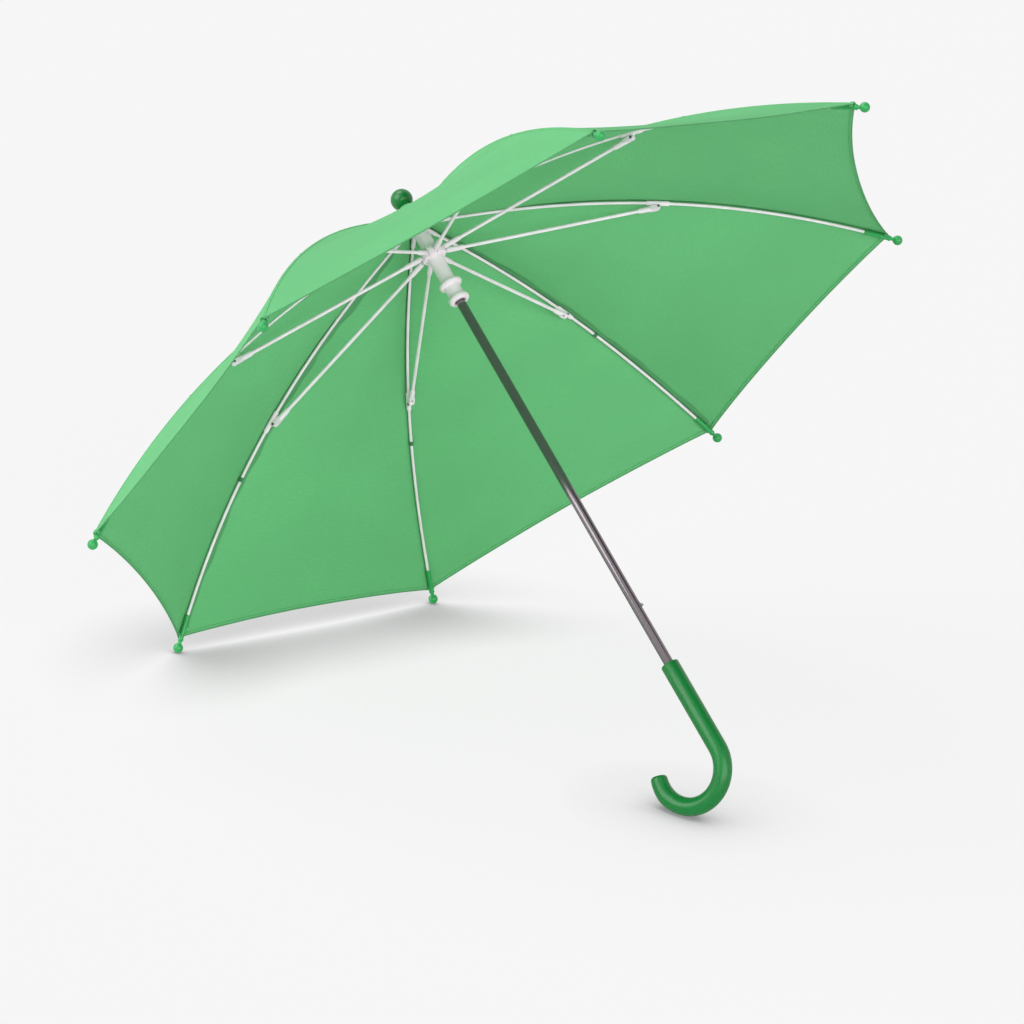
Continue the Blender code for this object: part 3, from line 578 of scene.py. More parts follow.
def cloth_material(name, colour=CLOTH):
    """Woven polyester. The mesh attribute cloth holds (along the edge, off the edge, off the stitch line)."""
    s = Surface(name, Roughness=0.78, Sheen_Weight=0.06, Sheen_Roughness=0.5, Sheen_Tint=shade(colour, 1.6))
    s.shader.inputs["Specular IOR Level"].default_value = 0.2
    vector = s.add("Attribute").outputs["Vector"]
    vector.node.attribute_name = "cloth"
    parts = s.add("SeparateXYZ", Vector=vector).outputs
    run, off, line = parts[0], parts[1], parts[2]
    turns = 2 * math.pi / THREAD_PITCH
    warp = s.math("SINE", s.math("MULTIPLY", run, turns))
    weft = s.math("SINE", s.math("MULTIPLY", off, turns))
    weave = s.stretch(s.math("MULTIPLY", warp, weft), -1.0, 1.0)
    drawn = s.add("CombineXYZ", X=s.math("MULTIPLY", run, SLUB_LONG), Y=off).outputs[0]
    slub = s.noise(drawn, SLUB_SCALE, 2.0)
    cloud = s.noise(vector, CLOUD_SCALE, 2.0)
    tone = s.blend(s.stretch(cloud, 0.3, 0.7), shade(colour, CLOUDS[0]), shade(colour, CLOUDS[1]))
    tone = s.blend(s.stretch(slub, 0.35, 0.65, 0.0, 0.5), tone, shade(colour, SLUB_SHADE))
    tone = s.blend(s.math("MULTIPLY", weave, 0.35), tone, shade(colour, WEAVE_SHADE))
    beside = s.math("ABSOLUTE", line)
    on_line = s.stretch(beside, *STITCH_HALF, 1.0, 0.0)
    phase = s.math("FRACT", s.math("MULTIPLY", run, 1 / STITCH))
    dash = s.stretch(s.math("ABSOLUTE", s.math("SUBTRACT", phase, 0.5)), *STITCH_ENDS, 1.0, 0.0)
    thread = s.math("MULTIPLY", on_line, dash)
    furrow = s.stretch(beside, 0.0, FURROW_HALF, 1.0, 0.0)
    # Painted shade: the cloth's colour is darkened in the furrow beside each stitch line.
    tone = s.blend(s.math("MULTIPLY", furrow, 0.28), tone, shade(colour, FURROW_PAINTED_SHADE))
    tone = s.blend(s.math("MULTIPLY", thread, 0.7), tone, shade(colour, STITCH_SHADE))
    s.roughness(s.stretch(slub, 0.3, 0.7, 0.70, 0.86))
    edge = s.stretch(off, *EDGE, 0.62, 0.0)
    s.colour(s.blend(edge, tone, shade(colour, EDGE_SHADE)))
    pucker = s.math("SINE", s.math("MULTIPLY", run, 2 * math.pi / PUCKER_LONG))
    near = s.stretch(beside, 0.0, PUCKER_REACH, 1.0, 0.0)
    s.relief(s.math("MULTIPLY", pucker, near), PUCKER_DEEP)
    s.relief(weave, WEAVE_DEEP, 0.7)
    s.relief(s.math("SUBTRACT", s.math("MULTIPLY", thread, 1.6), furrow), STITCH_DEEP)
    return s.material


PLASTIC_SHINE = 0.28
PATCH_SCALE = 55.0
PATCH_DEEP = 0.05 * MM
GRAIN_SCALE = 900.0


def plastic_material(name, colour, rough, coat, grain):
    """Moulded plastic with a faint orange-peel of that depth, and a softer gloss in patches."""
    s = Surface(name, Roughness=rough, Coat_Weight=coat, Coat_Roughness=0.12)
    s.shader.inputs["Specular IOR Level"].default_value = PLASTIC_SHINE
    place = s.place()
    patch = s.noise(place, PATCH_SCALE, 3.0)
    fine = s.noise(place, GRAIN_SCALE, 2.0)
    s.colour(s.blend(s.stretch(patch, 0.3, 0.7), shade(colour, 0.94), shade(colour, 1.06)))
    s.roughness(s.stretch(patch, 0.3, 0.7, rough * 0.85, rough * 1.15))
    s.relief(patch, PATCH_DEEP, 0.2)
    s.relief(fine, grain, 0.6)
    return s.material


DRAWN_SCALE = 4200.0
DRAWN_LONG = 0.012
DRAWN_DEEP = 0.004 * MM
SMUDGE_SCALE = 38.0


def metal_material(name, colour, rough, streak, metallic=1.0):
    """Drawn metal: fine streaks run along the umbrella's shaft."""
    s = Surface(name, Metallic=metallic, Roughness=rough)
    mapping = s.add("Mapping", Vector=s.place())
    mapping.inputs["Rotation"].default_value = lay.to_3x3().transposed().to_euler()
    mapping.inputs["Scale"].default_value = (1.0, 1.0, DRAWN_LONG)
    lines = s.noise(mapping.outputs[0], DRAWN_SCALE, 2.0)
    smudge = s.noise(s.place(), SMUDGE_SCALE, 3.0)
    s.colour(s.blend(s.stretch(lines, 0.3, 0.7), shade(colour, 1 - streak), shade(colour, 1 + streak)))
    s.roughness(s.stretch(smudge, 0.3, 0.7, rough * 0.8, rough * 1.25))
    s.relief(lines, DRAWN_DEEP, 0.2)
    return s.material


GREEN = (0.007, 0.185, 0.036, 1.0)
TIP_GREEN = (0.028, 0.350, 0.090, 1.0)
WHITE = (0.930, 0.810, 0.890, 1.0)
ROD_WHITE = (0.920, 0.810, 0.890, 1.0)
STEEL = (0.215, 0.185, 0.205, 1.0)
DARK_STEEL = (0.12, 0.12, 0.13, 1.0)

cloth = cloth_material("woven_green_cloth")
# Cloth for the seam allowances: the cloth's green darkened to 0.66, which is painted shade beside the rods.
cloth_painted_shade = cloth_material("woven_green_cloth_doubled", shade(CLOTH, 0.66))
thread_green = cloth_material("green_thread", shade(CLOTH, 0.42))
handle_green = plastic_material("handle_green", GREEN, rough=0.28, coat=0.12, grain=0.015 * MM)
cap_green = plastic_material("cap_green", GREEN, rough=0.24, coat=0.2, grain=0.008 * MM)
tip_green = plastic_material("tip_green", TIP_GREEN, rough=0.24, coat=0.15, grain=0.008 * MM)
white_plastic = plastic_material("white_plastic", WHITE, rough=0.38, coat=0.15, grain=0.012 * MM)
white_rod = plastic_material("white_rod", ROD_WHITE, rough=0.36, coat=0.2, grain=0.02 * MM)
shaft_metal = metal_material("shaft_metal", STEEL, rough=0.13, streak=0.04, metallic=0.75)
dark_metal = metal_material("dark_metal", DARK_STEEL, rough=0.35, streak=0.10)


# ---- canopy ----
def with_cloth(mesh, values):
    attribute = mesh.attributes.new("cloth", "FLOAT_VECTOR", "POINT")
    attribute.data.foreach_set("vector", np.array(values, np.float32).ravel())
    return mesh


def as_thread(mesh):
    """Cloth values for wound thread: a fine grain, and no stitch line."""
    return with_cloth(mesh, [(v.co.x * 9, v.co.z * 9, NO_STITCH) for v in mesh.vertices])


def hem_path(length):
    """(v, inward offset, distance from the edge) from the top hole to the hem, round its fold and back."""
    out = []
    for i in range(ROWS + 1):
        v = (i / ROWS) ** 1.1
        out.append((v, 0.0, (1 - v) * length))
    half = HEM_THICK / 2
    for a in (30, 90, 150):
        reach = half * math.sin(math.radians(a))
        out.append((1 + reach / length, half - half * math.cos(math.radians(a)), 0.0))
    for share in (0.0, 0.4, 0.7, 0.9, 1.0):
        thick = HEM_THICK * (1 - 0.8 * share**4)
        out.append((1 - share * HEM_WIDTH / length, thick, share * HEM_WIDTH))
    return out


def half_panel(k, first):
    """Half of the panel between rib k and rib k + 1: to the middle from rib k, or else from rib k + 1."""
    length = list(along_seam(k, 0.0, 1.0, 20))[-1][2]
    points = []
    values = []
    path = hem_path(length)
    for v, inward, off in path:
        width = panel_width(k, v)
        for j in range(COLUMNS + 1):
            s = j / COLUMNS / 2
            u = s if first else 1 - s
            p = canopy_point(k, u, v)
            if inward:
                p -= canopy_normal(k, u, min(v, 1)) * inward
            points.append(p)
            values.append((s * width + CLOTH_SHIFT * (k + 1), off, off - HEM_STITCH))
    mesh = with_cloth(mesh_from(points, grid_faces(len(path), COLUMNS + 1)), values)
    obj = gathered("canopy_cloth_%d" % (k + 1), mesh, k, first, "canopy_panel_%d" % (k + 1))
    area = sum(face.area for face in obj.data.polygons)
    return obj, (panel_width(k, 1) / 2, length + HEM_WIDTH + HEM_THICK), area


def gather(obj):
    """Gives the cloth piece its own copy of its mesh."""
    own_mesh(obj)


def gathered(name, mesh, k, first, node):
    """Half a or b of a cloth that rides on rib k or k + 1. The first stands for the node."""
    name += "a" if first else "b"
    nearest = k if first else k + 1
    obj = piece(name, mesh, cloth, rib_name(nearest), (node,) if first else ())
    gather(obj)
    return obj


def seam_strip(k):
    """The felled seam over rib k: a narrow doubled band on the cloth's outer side."""
    rows = 60
    half = SEAM_WIDTH / 2
    section = [(-1.0, 0.0), (-0.94, 1.0), (-0.5, 1.0), (0.0, 1.15), (0.5, 1.0), (0.94, 1.0), (1.0, 0.0)]
    points = []
    values = []
    for v, width, length in along_seam(k, SEAM_FROM, 1.0, rows):
        for side, lift in section:
            u = min(abs(side) * SEAM_WIDTH / 2 / width, 0.2)
            if side >= 0:
                p = canopy_point(k, u, v)
                n = canopy_normal(k, max(u, 0.01), v)
            else:
                p = canopy_point(k - 1, 1 - u, v)
                n = canopy_normal(k - 1, 1 - u, v)
            if side == 0:
                n = (n + canopy_normal(k - 1, 0.99, v)).normalized()
            points.append(p + n * (SEAM_LIFT * lift))
            values.append((length, NO_EDGE + side * half, abs(side) * half - SEAM_STITCH))
    mesh = with_cloth(mesh_from(points, grid_faces(rows + 1, len(section))), values)
    return piece("seam_band_%d" % (k + 1), mesh, cloth, rib_name(k))


def seam_allowance(k):
    """The cut edges of the two panels on the inner side of the seam, folded over towards rib k + 1."""
    rows = 70
    section = [(0.0, 0.1), (0.2, 1.0), (0.55, 1.35), (0.95, 1.25), (1.0, 1.0), (0.9, 0.75), (0.35, 0.25)]
    points = []
    values = []
    for v, width, length in along_seam(k, ALLOWANCE_FROM, ALLOWANCE_TO, rows):
        uneven = 1 + 0.12 * math.sin(31 * v + k) + 0.08 * math.sin(83 * v)
        reach = FIN_WIDTH[k] * MM * uneven * min(1, 8 * v)
        lift = 1 + 0.3 * math.sin(23 * v + 2 * k)
        for across, depth in section:
            u = min(across * reach / width, 0.3)
            below = canopy_normal(k, max(u, 0.01), v) * (depth * lift * ALLOWANCE_DEPTH)
            points.append(canopy_point(k, u, v) - below)
            values.append((length, NO_EDGE + across * reach, (across - 0.3) * reach))
    mesh = with_cloth(mesh_from(points, grid_faces(rows + 1, len(section), wrap=True)), values)
    name = "seam_allowance_%d" % (k + 1)
    # The allowance is drawn in the darker cloth, whose darker green is painted shade.
    return piece(name, mesh, cloth_painted_shade, rib_name(k), sharp=70)


def tie(k):
    """Thread that is wound round the rib and the seam."""
    r = TIE_R[k] * MM
    way = rib_way(r)
    over = Vector((-way.z, 0, way.x))
    centre = Vector((r, 0, rib_z(r)))
    spots = []
    for i in range(17):
        t = i / 16
        swell = abs(math.sin(TIE_TURNS * math.pi * t)) * TIE_SWELL
        spots.append((TIE_HALF * (2 * t - 1), RIB_R + TIE_WALL + swell))
    loops = swept(straight(centre, way, spots), (0, 1, 0))
    rise = CANOPY_OVER_RIB + SEAM_LIFT
    spots = [(0, TIE_POST_R), (rise, TIE_POST_R), (rise + 0.3 * MM, 0.5 * MM)]
    post = swept(straight(centre, over, spots), (0, 1, 0))
    mesh = as_thread(together([loops, post]))
    at = in_plane(k, 0, 0)
    piece("seam_tie_%d" % (k + 1), mesh, thread_green, rib_name(k), at=at)


def closing_strap(first):
    """Half of a doubled band with a stitched edge, on a panel's outside: each half goes with its own rib."""
    k = STRAP_PANEL
    v = 1 - STRAP_ABOVE_HEM
    e = 0.02
    long = (canopy_point(k, 0.5, v + e) - canopy_point(k, 0.5, v - e)).length / (2 * e)
    width = panel_width(k, v)
    rows, cols = 12, 20
    points = []
    values = []
    for layer in (0, 1):
        for i in range(rows + 1):
            for j in range(cols + 1):
                a, b = i / rows - 0.5, (j / cols - 1 if first else j / cols) / 2
                corner = max(0.0, abs(b) - 0.5 + STRAP_CORNER / STRAP_L) * STRAP_L / STRAP_CORNER
                a *= math.sqrt(max(1 - 0.75 * corner**2, 0.02))
                u = 0.5 + b * STRAP_L / width
                at = v + a * STRAP_W / long
                edge = min(0.5 - abs(i / rows - 0.5), (0.5 - abs(b)) * STRAP_L / STRAP_W) * STRAP_W
                puff = min(edge / (0.8 * MM), 1.0) * (STRAP_PUFF if layer else 0.0)
                points.append(canopy_point(k, u, at) + canopy_normal(k, u, at) * (0.5 * MM + puff))
                values.append((b * STRAP_L, NO_EDGE + a * STRAP_W, edge - STRAP_STITCH))
    count = (rows + 1) * (cols + 1)
    faces = grid_faces(rows + 1, cols + 1) + grid_faces(rows + 1, cols + 1, start=count)
    mesh = with_cloth(mesh_from(points, faces), values)
    return gathered("strap_cloth_", mesh, k, first, "closing_strap")


def rosette():
    """Gathered collar of cloth under the ferrule, with small pleats."""
    steps = 96
    inner = STEM_R + GAP
    neck = math.sqrt(BALL_R**2 - (BALL_Z - ROSETTE_Z - COLLAR_TOP) ** 2)
    profile = [
        (inner, ROSETTE_H, 0.0),
        (neck + 0.3 * MM, COLLAR_TOP - 0.4 * MM, 0.3),
        (neck + 0.9 * MM, COLLAR_TOP, 0.5),
        (neck + 1.4 * MM, COLLAR_TOP - 0.4 * MM, 0.8),
        (neck + 1.5 * MM, COLLAR_TOP * 0.6, 1.0),
        (ROSETTE_R + 0.4 * MM, 2.2 * MM, 1.0),
        (ROSETTE_R + 0.9 * MM, 1.0 * MM, 0.8),
    ]
    disc = [seam(r) for r in np.linspace(ROSETTE_R + MM, DISC_R, 7)]
    profile += [(r, z + 0.7 * MM - ROSETTE_Z, 0.3) for r, z in disc]
    profile += [(r, z + 0.25 * MM - ROSETTE_Z, 0.3) for r, z in reversed(disc)]
    profile.append((inner, 0.05 * MM, 0.0))
    points = []
    for r, z, pleat in profile:
        for j in range(steps):
            a = 2 * math.pi * j / steps
            wave = math.sin(PLEATS * a) * PLEAT_DEPTH * pleat
            points.append(((r + wave) * math.cos(a), (r + wave) * math.sin(a), ROSETTE_Z + z + 0.4 * wave))
    mesh = mesh_from(points, grid_faces(len(profile), steps, wrap=True))
    spots = [(i, j) for i in range(len(profile)) for j in range(steps)]
    with_cloth(mesh, [(j * 0.3 * MM, NO_EDGE + i * MM, NO_STITCH) for i, j in spots])
    piece("rosette_cloth", mesh, cloth, "shaft", ("top_rosette",), sharp=80)


# ---- ribs, joints and stretchers ----
def eye_ring(centre):
    """Moulded eye on a wire: a short ring about the tangential direction."""
    half = EYE_THICK / 2
    lip = 0.15 * MM
    profile = [
        (EYE_HOLE_R, half - lip),
        (EYE_HOLE_R + lip, half),
        (EYE_R - lip, half),
        (EYE_R, half - lip),
        (EYE_R, -half + lip),
        (EYE_R - lip, -half),
        (EYE_HOLE_R + lip, -half),
        (EYE_HOLE_R, -half + lip),
    ]
    turn = Matrix.Translation(centre) @ Matrix.Rotation(math.radians(90), 4, "X")
    return moved(turned(profile, 20, closed=True), turn)


def rib_way(r):
    return Vector((1, 0, rib_slope(r))).normalized()


def rib(k):
    stop = rib_back(RIB_STOP)
    shape = [
        (RIB_END_FROM - 0.3 * MM, RIB_END_R - 0.5 * MM),
        (RIB_END_FROM, RIB_END_R - 0.15 * MM),
        (RIB_END_FROM + 0.4 * MM, RIB_END_R),
        (RIB_END_TO - 0.5 * MM, RIB_END_R),
        (RIB_END_TO, RIB_END_R - 0.15 * MM),
        (RIB_END_TO + 0.8 * MM, RIB_R),
    ]
    spots = [(CROWN_WIRE_R + d, w) for d, w in shape]
    spots += [(r, RIB_R) for r in np.linspace(spots[-1][0], stop, 42)[1:]]
    stations = [(Vector((r, 0, rib_z(r))), rib_way(r), w) for r, w in spots]
    bar = swept(stations, (0, 1, 0))
    eye = Vector((CROWN_WIRE_R, 0, CROWN_Z))
    mesh = together([bar, eye_ring(eye), eye_neck(eye, rib_way(CROWN_WIRE_R), RIB_END_FROM)])
    name = rib_name(k)
    piece("rod_of_" + name, mesh, white_rod, name, (name,), at=in_plane(k, 0, 0))


def plate(outline, low, high):
    """A flat outline of (x, z) points between two tangential distances, with rounded edges."""
    count = len(outline)
    points = [(x, y, z) for y in (low, high) for x, z in outline]
    faces = [tuple(range(count)), tuple(range(2 * count - 1, count - 1, -1))]
    faces += [(i, i + count, (i + 1) % count + count, (i + 1) % count) for i in range(count)]
    mesh = tidy(mesh_from(points, faces))
    bm = bmesh.new()
    bm.from_mesh(mesh)
    rim = [e for e in bm.edges if abs(e.verts[0].co.y - e.verts[1].co.y) < SAME_POINT]
    bmesh.ops.bevel(bm, geom=rim, offset=FLAT_EDGE, segments=2, affect="EDGES")
    bm.to_mesh(mesh)
    bm.free()
    return mesh


def eye_neck(centre, way, end):
    """Flat neck that joins an eye to the rod that starts at a distance `end` along `way`."""
    over = Vector((-way.z, 0, way.x))
    corners = [(EYE_R * 0.8, NECK_HALF), (end + 0.4 * MM, NECK_HALF)]
    corners = [centre + way * s + over * h for s, h in corners + [(s, -h) for s, h in reversed(corners)]]
    half = EYE_THICK / 2 - 0.05 * MM
    return plate([(p.x, p.z) for p in corners], -half, half)


def tongue(end, round_r, half_wide):
    """Outline with one round end about the origin and a square end at the point `end`."""
    count = 14
    end = Vector((end[0], end[1]))
    way = end.normalized()
    side = Vector((-way.y, way.x))
    out = []
    for i in range(count + 1):
        a = math.pi * i / count
        out.append(side * (round_r * math.cos(a)) - way * (round_r * math.sin(a)))
    out += [end - side * half_wide, end + side * half_wide]
    return [(p.x, p.y) for p in out]


def rib_joint(k):
    """White sleeve on the rib with the web that the pin goes through."""
    along = rib_way(PIN_ON_RIB_R)
    up = Vector((-along.z, 0, along.x))
    centre = Vector((PIN_ON_RIB_R - JOINT_R, 0, PIN_ON_RIB_Z - JOINT_Z))
    half = BLOCK_LENGTH / 2
    lip = 0.9 * MM
    spots = [(-half, RIB_R + GAP), (-half, BLOCK_R - 0.5 * MM), (-half + lip / 2, BLOCK_R - 0.15 * MM)]
    spots += [(-half + lip, BLOCK_R), (half - lip, BLOCK_R)]
    spots += [(half - lip / 2, BLOCK_R - 0.15 * MM), (half, BLOCK_R - 0.5 * MM), (half, RIB_R + GAP)]
    sleeve = swept(straight(centre, along, spots), (0, 1, 0), 18)
    reach = centre - up * (RIB_R + GAP)
    thick = WEB_THICK / 2
    web = plate(tongue((reach.x, reach.z), WEB_R, WEB_R * 1.25), -thick, thick)
    name = "rib_joint_%d" % (k + 1)
    mesh = together([sleeve, web])
    at = in_plane(k, JOINT_R, JOINT_Z)
    piece("moulding_of_" + name, mesh, white_plastic, rib_name(k), (name,), at=at)


def joint_pin(k):
    """Dark rivet with domed heads."""
    half = PIN_LENGTH / 2
    head = PIN_HEAD_R
    profile = [(0, half + 0.35 * MM), (head * 0.6, half + 0.25 * MM), (head, half - 0.05 * MM)]
    profile += [(head, half - 0.35 * MM), (PIN_R, half - 0.4 * MM)]
    profile += [(r, -z) for r, z in reversed(profile)]
    name = "joint_pin_%d" % (k + 1)
    mesh = turned(profile, 20)
    at = in_plane(k, JOINT_R, JOINT_Z) @ Matrix.Rotation(math.radians(90), 4, "X")
    piece("rivet_of_" + name, mesh, dark_metal, rib_name(k), (name,), at=at)


def stretcher(k):
    way = Vector((RING_WIRE_R - JOINT_R, 0, RING_Z - JOINT_Z))
    long = way.length
    way.normalize()
    root = CHEEK_LENGTH - 1.2 * MM
    mouth = CHEEK_LENGTH + SOCKET_LENGTH
    spots = [
        (root, 0.9 * MM),
        (root + 0.1 * MM, 1.6 * MM),
        (root + 0.8 * MM, SOCKET_R - 0.1 * MM),
        (root + 1.5 * MM, SOCKET_R),
        (mouth - 3 * MM, SOCKET_R - 0.1 * MM),
        (mouth - 0.7 * MM, SOCKET_R - 0.35 * MM),
        (mouth, STRETCHER_R + 0.25 * MM),
        (mouth + 0.05 * MM, STRETCHER_R),
        (long * 0.5, STRETCHER_R),
        (long - STRETCHER_END_TO - 0.8 * MM, STRETCHER_R),
        (long - STRETCHER_END_TO, STRETCHER_R + 0.3 * MM),
        (long - STRETCHER_END_TO + 2.5 * MM, STRETCHER_END_R - 0.15 * MM),
        (long - STRETCHER_END_FROM, STRETCHER_END_R),
        (long - STRETCHER_END_FROM + 0.4 * MM, STRETCHER_END_R - 0.15 * MM),
        (long - STRETCHER_END_FROM + 0.7 * MM, STRETCHER_END_R - 0.5 * MM),
    ]
    parts = [swept(straight((0, 0, 0), way, spots), (0, 1, 0), 16), eye_ring(way * long)]
    parts.append(eye_neck(way * long, -way, STRETCHER_END_FROM))
    end = way * (CHEEK_LENGTH + 0.6 * MM)
    low, high = FORK_GAP / 2, FORK_GAP / 2 + CHEEK_THICK
    outline = tongue((end.x, end.z), CHEEK_R, CHEEK_R * 0.95)
    parts += [plate(outline, low, high), plate(outline, -high, -low)]
    name = "stretcher_%d" % (k + 1)
    at = in_plane(k, JOINT_R, JOINT_Z)
    piece("rod_of_" + name, together(parts), white_rod, name, (name,), at=at)


# ---- tips ----
def tip(k):
    """Ball, neck, collar and sleeve of a rib's tip."""
    neck = math.degrees(math.asin(TIP_NECK_R / TIP_BALL_R))
    profile = arc(TIP_BALL_R, 0, 0, 180 - neck - 3, 16) + [
        (TIP_NECK_R + 0.1 * MM, -TIP_BALL_R - 0.15 * MM),
        (TIP_NECK_R, -TIP_BALL_R - 0.8 * MM),
        (TIP_NECK_R + 0.2 * MM, -TIP_COLLAR_AT + 1.1 * MM),
        (TIP_NECK_R + 0.5 * MM, -TIP_COLLAR_AT + 0.5 * MM),
        (TIP_COLLAR_R - 0.2 * MM, -TIP_COLLAR_AT + 0.15 * MM),
        (TIP_COLLAR_R, -TIP_COLLAR_AT - 0.1 * MM),
        (TIP_COLLAR_R, -TIP_COLLAR_AT - 0.8 * MM),
        (TIP_COLLAR_R - 0.2 * MM, -TIP_COLLAR_AT - 1.05 * MM),
        (TIP_SLEEVE_R + 0.15 * MM, -TIP_COLLAR_AT - 1.3 * MM),
        (TIP_SLEEVE_R, -TIP_COLLAR_AT - 1.8 * MM),
        (TIP_SLEEVE_R, -TIP_LENGTH + 0.5 * MM),
        (TIP_SLEEVE_R - 0.15 * MM, -TIP_LENGTH + 0.1 * MM),
        (TIP_SLEEVE_R - 0.3 * MM, -TIP_LENGTH),
        (RIB_R + 0.1 * MM, -TIP_LENGTH),
        (RIB_R + 0.1 * MM, -TIP_LENGTH + 3 * MM),
    ]
    r = rib_back(TIP_LENGTH)
    way = Vector((CANOPY_R - r, 0, -rib_z(r))).normalized()
    turn = Vector((0, 0, 1)).rotation_difference(way).to_matrix().to_4x4()
    name = "tip_%d" % (k + 1)
    mesh = turned(profile, 28)
    at = in_plane(k, CANOPY_R, 0) @ turn
    piece("moulding_of_" + name, mesh, tip_green, rib_name(k), (name,), at=at)


def bar_tack(k):
    """Loops of thread over the sleeve where the cloth's corner is sewn to the tip."""
    at = rib_back(HEM_AT + 2.5 * MM)
    way = rib_way(at)
    over = Vector((-way.z, 0, way.x))
    base = Vector((at, 0, rib_z(at)))
    loops = []
    for i in range(TACK_LOOPS):
        middle = base + way * ((i - (TACK_LOOPS - 1) / 2) * TACK_PITCH)
        stations = []
        for j in range(13):
            a = math.radians(TACK_REACH_DEG * (j / 6 - 1))
            spot = middle + over * (math.cos(a) * TACK_OVER) + Vector((0, math.sin(a) * TACK_BESIDE, 0))
            lean = -over * math.sin(a) + Vector((0, math.cos(a), 0))
            stations.append((spot, lean, TACK_R))
        loops.append(swept(stations, way, 8))
    mesh = as_thread(together(loops))
    at = in_plane(k, 0, 0)
    piece("bar_tack_%d" % (k + 1), mesh, cloth, rib_name(k), at=at)


# ---- pieces on the shaft ----
def slot_box(z, half, wide, inner, outer):
    return moved(
        box((inner, -wide / 2, z - half), (outer, wide / 2, z + half)),
        Matrix.Rotation(math.radians(CATCH_DEG), 4, "Z"),
    )


def spokes(low, high):
    return [moved(box(low, high), Matrix.Rotation(azimuth(k), 4, "Z")) for k in range(RIBS)]


def shaft():
    travel = joints["runner_slide"]["range_m"][1]
    profile = [(SHAFT_R, SHAFT_TOP), (SHAFT_R, SHAFT_BOTTOM)]
    profile += [(SHAFT_BORE_R, SHAFT_BOTTOM), (SHAFT_BORE_R, SHAFT_TOP)]
    slot = (NOSE_HALF + 1.2 * MM, CATCH_W + 2 * GAP, 1.5 * MM, SHAFT_R + 2 * MM)
    cuts = [slot_box(z, *slot) for z in (WINDOW_Z, WINDOW_Z - travel)]
    mesh = carved(turned(profile, 48, closed=True), cuts, 0.08 * MM, 2)
    piece("shaft_metal_tube", mesh, shaft_metal, "shaft", ("shaft_tube",))


def crown():
    low, high = CROWN_Z - CROWN_HALF, CROWN_Z + CROWN_HALF
    profile = [(BORE_R, high), (CROWN_R, high), (CROWN_R, low), (BORE_R, low)]
    inner = CROWN_WIRE_R - EYE_R - 0.4 * MM
    top = CROWN_Z + EYE_R + 0.5 * MM
    cuts = spokes((inner, -SLOT_W / 2, low - MM), (CROWN_R + MM, SLOT_W / 2, top))
    mesh = carved(turned(profile, 64, closed=True), cuts, 0.22 * MM)
    piece("crown_moulding", mesh, white_plastic, "shaft", ("crown",))


def ferrule():
    meet = math.degrees(math.asin(STEM_R / BALL_R))
    foot = BALL_Z - BALL_R * math.cos(math.radians(meet))
    profile = arc(BALL_R, BALL_Z, 0, 180 - meet - 4, 28) + [
        (STEM_R + 0.25 * MM, foot - 0.15 * MM),
        (STEM_R, foot - 0.7 * MM),
        (STEM_R, STEM_BOTTOM + 0.4 * MM),
        (STEM_R - 0.4 * MM, STEM_BOTTOM),
        (0, STEM_BOTTOM),
    ]
    piece("ferrule_moulding", turned(profile, 56), cap_green, "shaft", ("ferrule_cap",))


def runner():
    low, high = RING_Z - RING_HALF, RING_Z + RING_HALF
    middle = (FLANGE_Z + MOUTH_FLANGE_Z) / 2
    profile = [
        (BORE_R, RUNNER_TOP),
        (RUNNER_R, RUNNER_TOP),
        (RUNNER_R, high),
        (RING_R, high),
        (RING_R, low),
        (RUNNER_R + 0.6 * MM, low - 0.2 * MM),
        (RUNNER_R, low - 1.5 * MM),
        (RUNNER_R, FLANGE_Z + FLANGE_HALF + 1.6 * MM),
        (RUNNER_R + 0.5 * MM, FLANGE_Z + FLANGE_HALF + 0.5 * MM),
        (FLANGE_R - 0.9 * MM, FLANGE_Z + FLANGE_HALF),
        (FLANGE_R - 0.25 * MM, FLANGE_Z + 1.1 * MM),
        (FLANGE_R, FLANGE_Z),
        (FLANGE_R - 0.25 * MM, FLANGE_Z - 1.1 * MM),
        (FLANGE_R - 0.9 * MM, FLANGE_Z - FLANGE_HALF),
        (WAIST_R + 0.7 * MM, FLANGE_Z - FLANGE_HALF - 0.5 * MM),
        (WAIST_R + 0.2 * MM, FLANGE_Z - FLANGE_HALF - 1.8 * MM),
        (WAIST_R, middle),
        (WAIST_R + 0.2 * MM, MOUTH_FLANGE_Z + 3.6 * MM),
        (WAIST_R + 0.9 * MM, MOUTH_FLANGE_Z + 2.3 * MM),
        (MOUTH_FLANGE_R - 0.7 * MM, MOUTH_FLANGE_Z + 1.6 * MM),
        (MOUTH_FLANGE_R - 0.1 * MM, MOUTH_FLANGE_Z + 0.7 * MM),
        (MOUTH_FLANGE_R, MOUTH_FLANGE_Z - 0.4 * MM),
        (MOUTH_FLANGE_R - 0.4 * MM, RUNNER_BOTTOM + 0.9 * MM),
        (MOUTH_FLANGE_R - 1.3 * MM, RUNNER_BOTTOM),
        (MOUTH_R, RUNNER_BOTTOM),
        (BORE_R, RUNNER_BOTTOM + 2.5 * MM),
    ]
    inner = RUNNER_R + SLOT_FLOOR
    cuts = spokes((inner, -SLOT_W / 2, low - MM), (RING_R + MM, SLOT_W / 2, high + MM))
    cuts.append(slot_box(WINDOW_Z, WINDOW_HALF, WINDOW_W, SHAFT_R, RUNNER_R + MM))
    mesh = carved(turned(profile, 64, closed=True), cuts, 0.2 * MM)
    piece("runner_moulding", mesh, white_plastic, "runner", ("runner",))


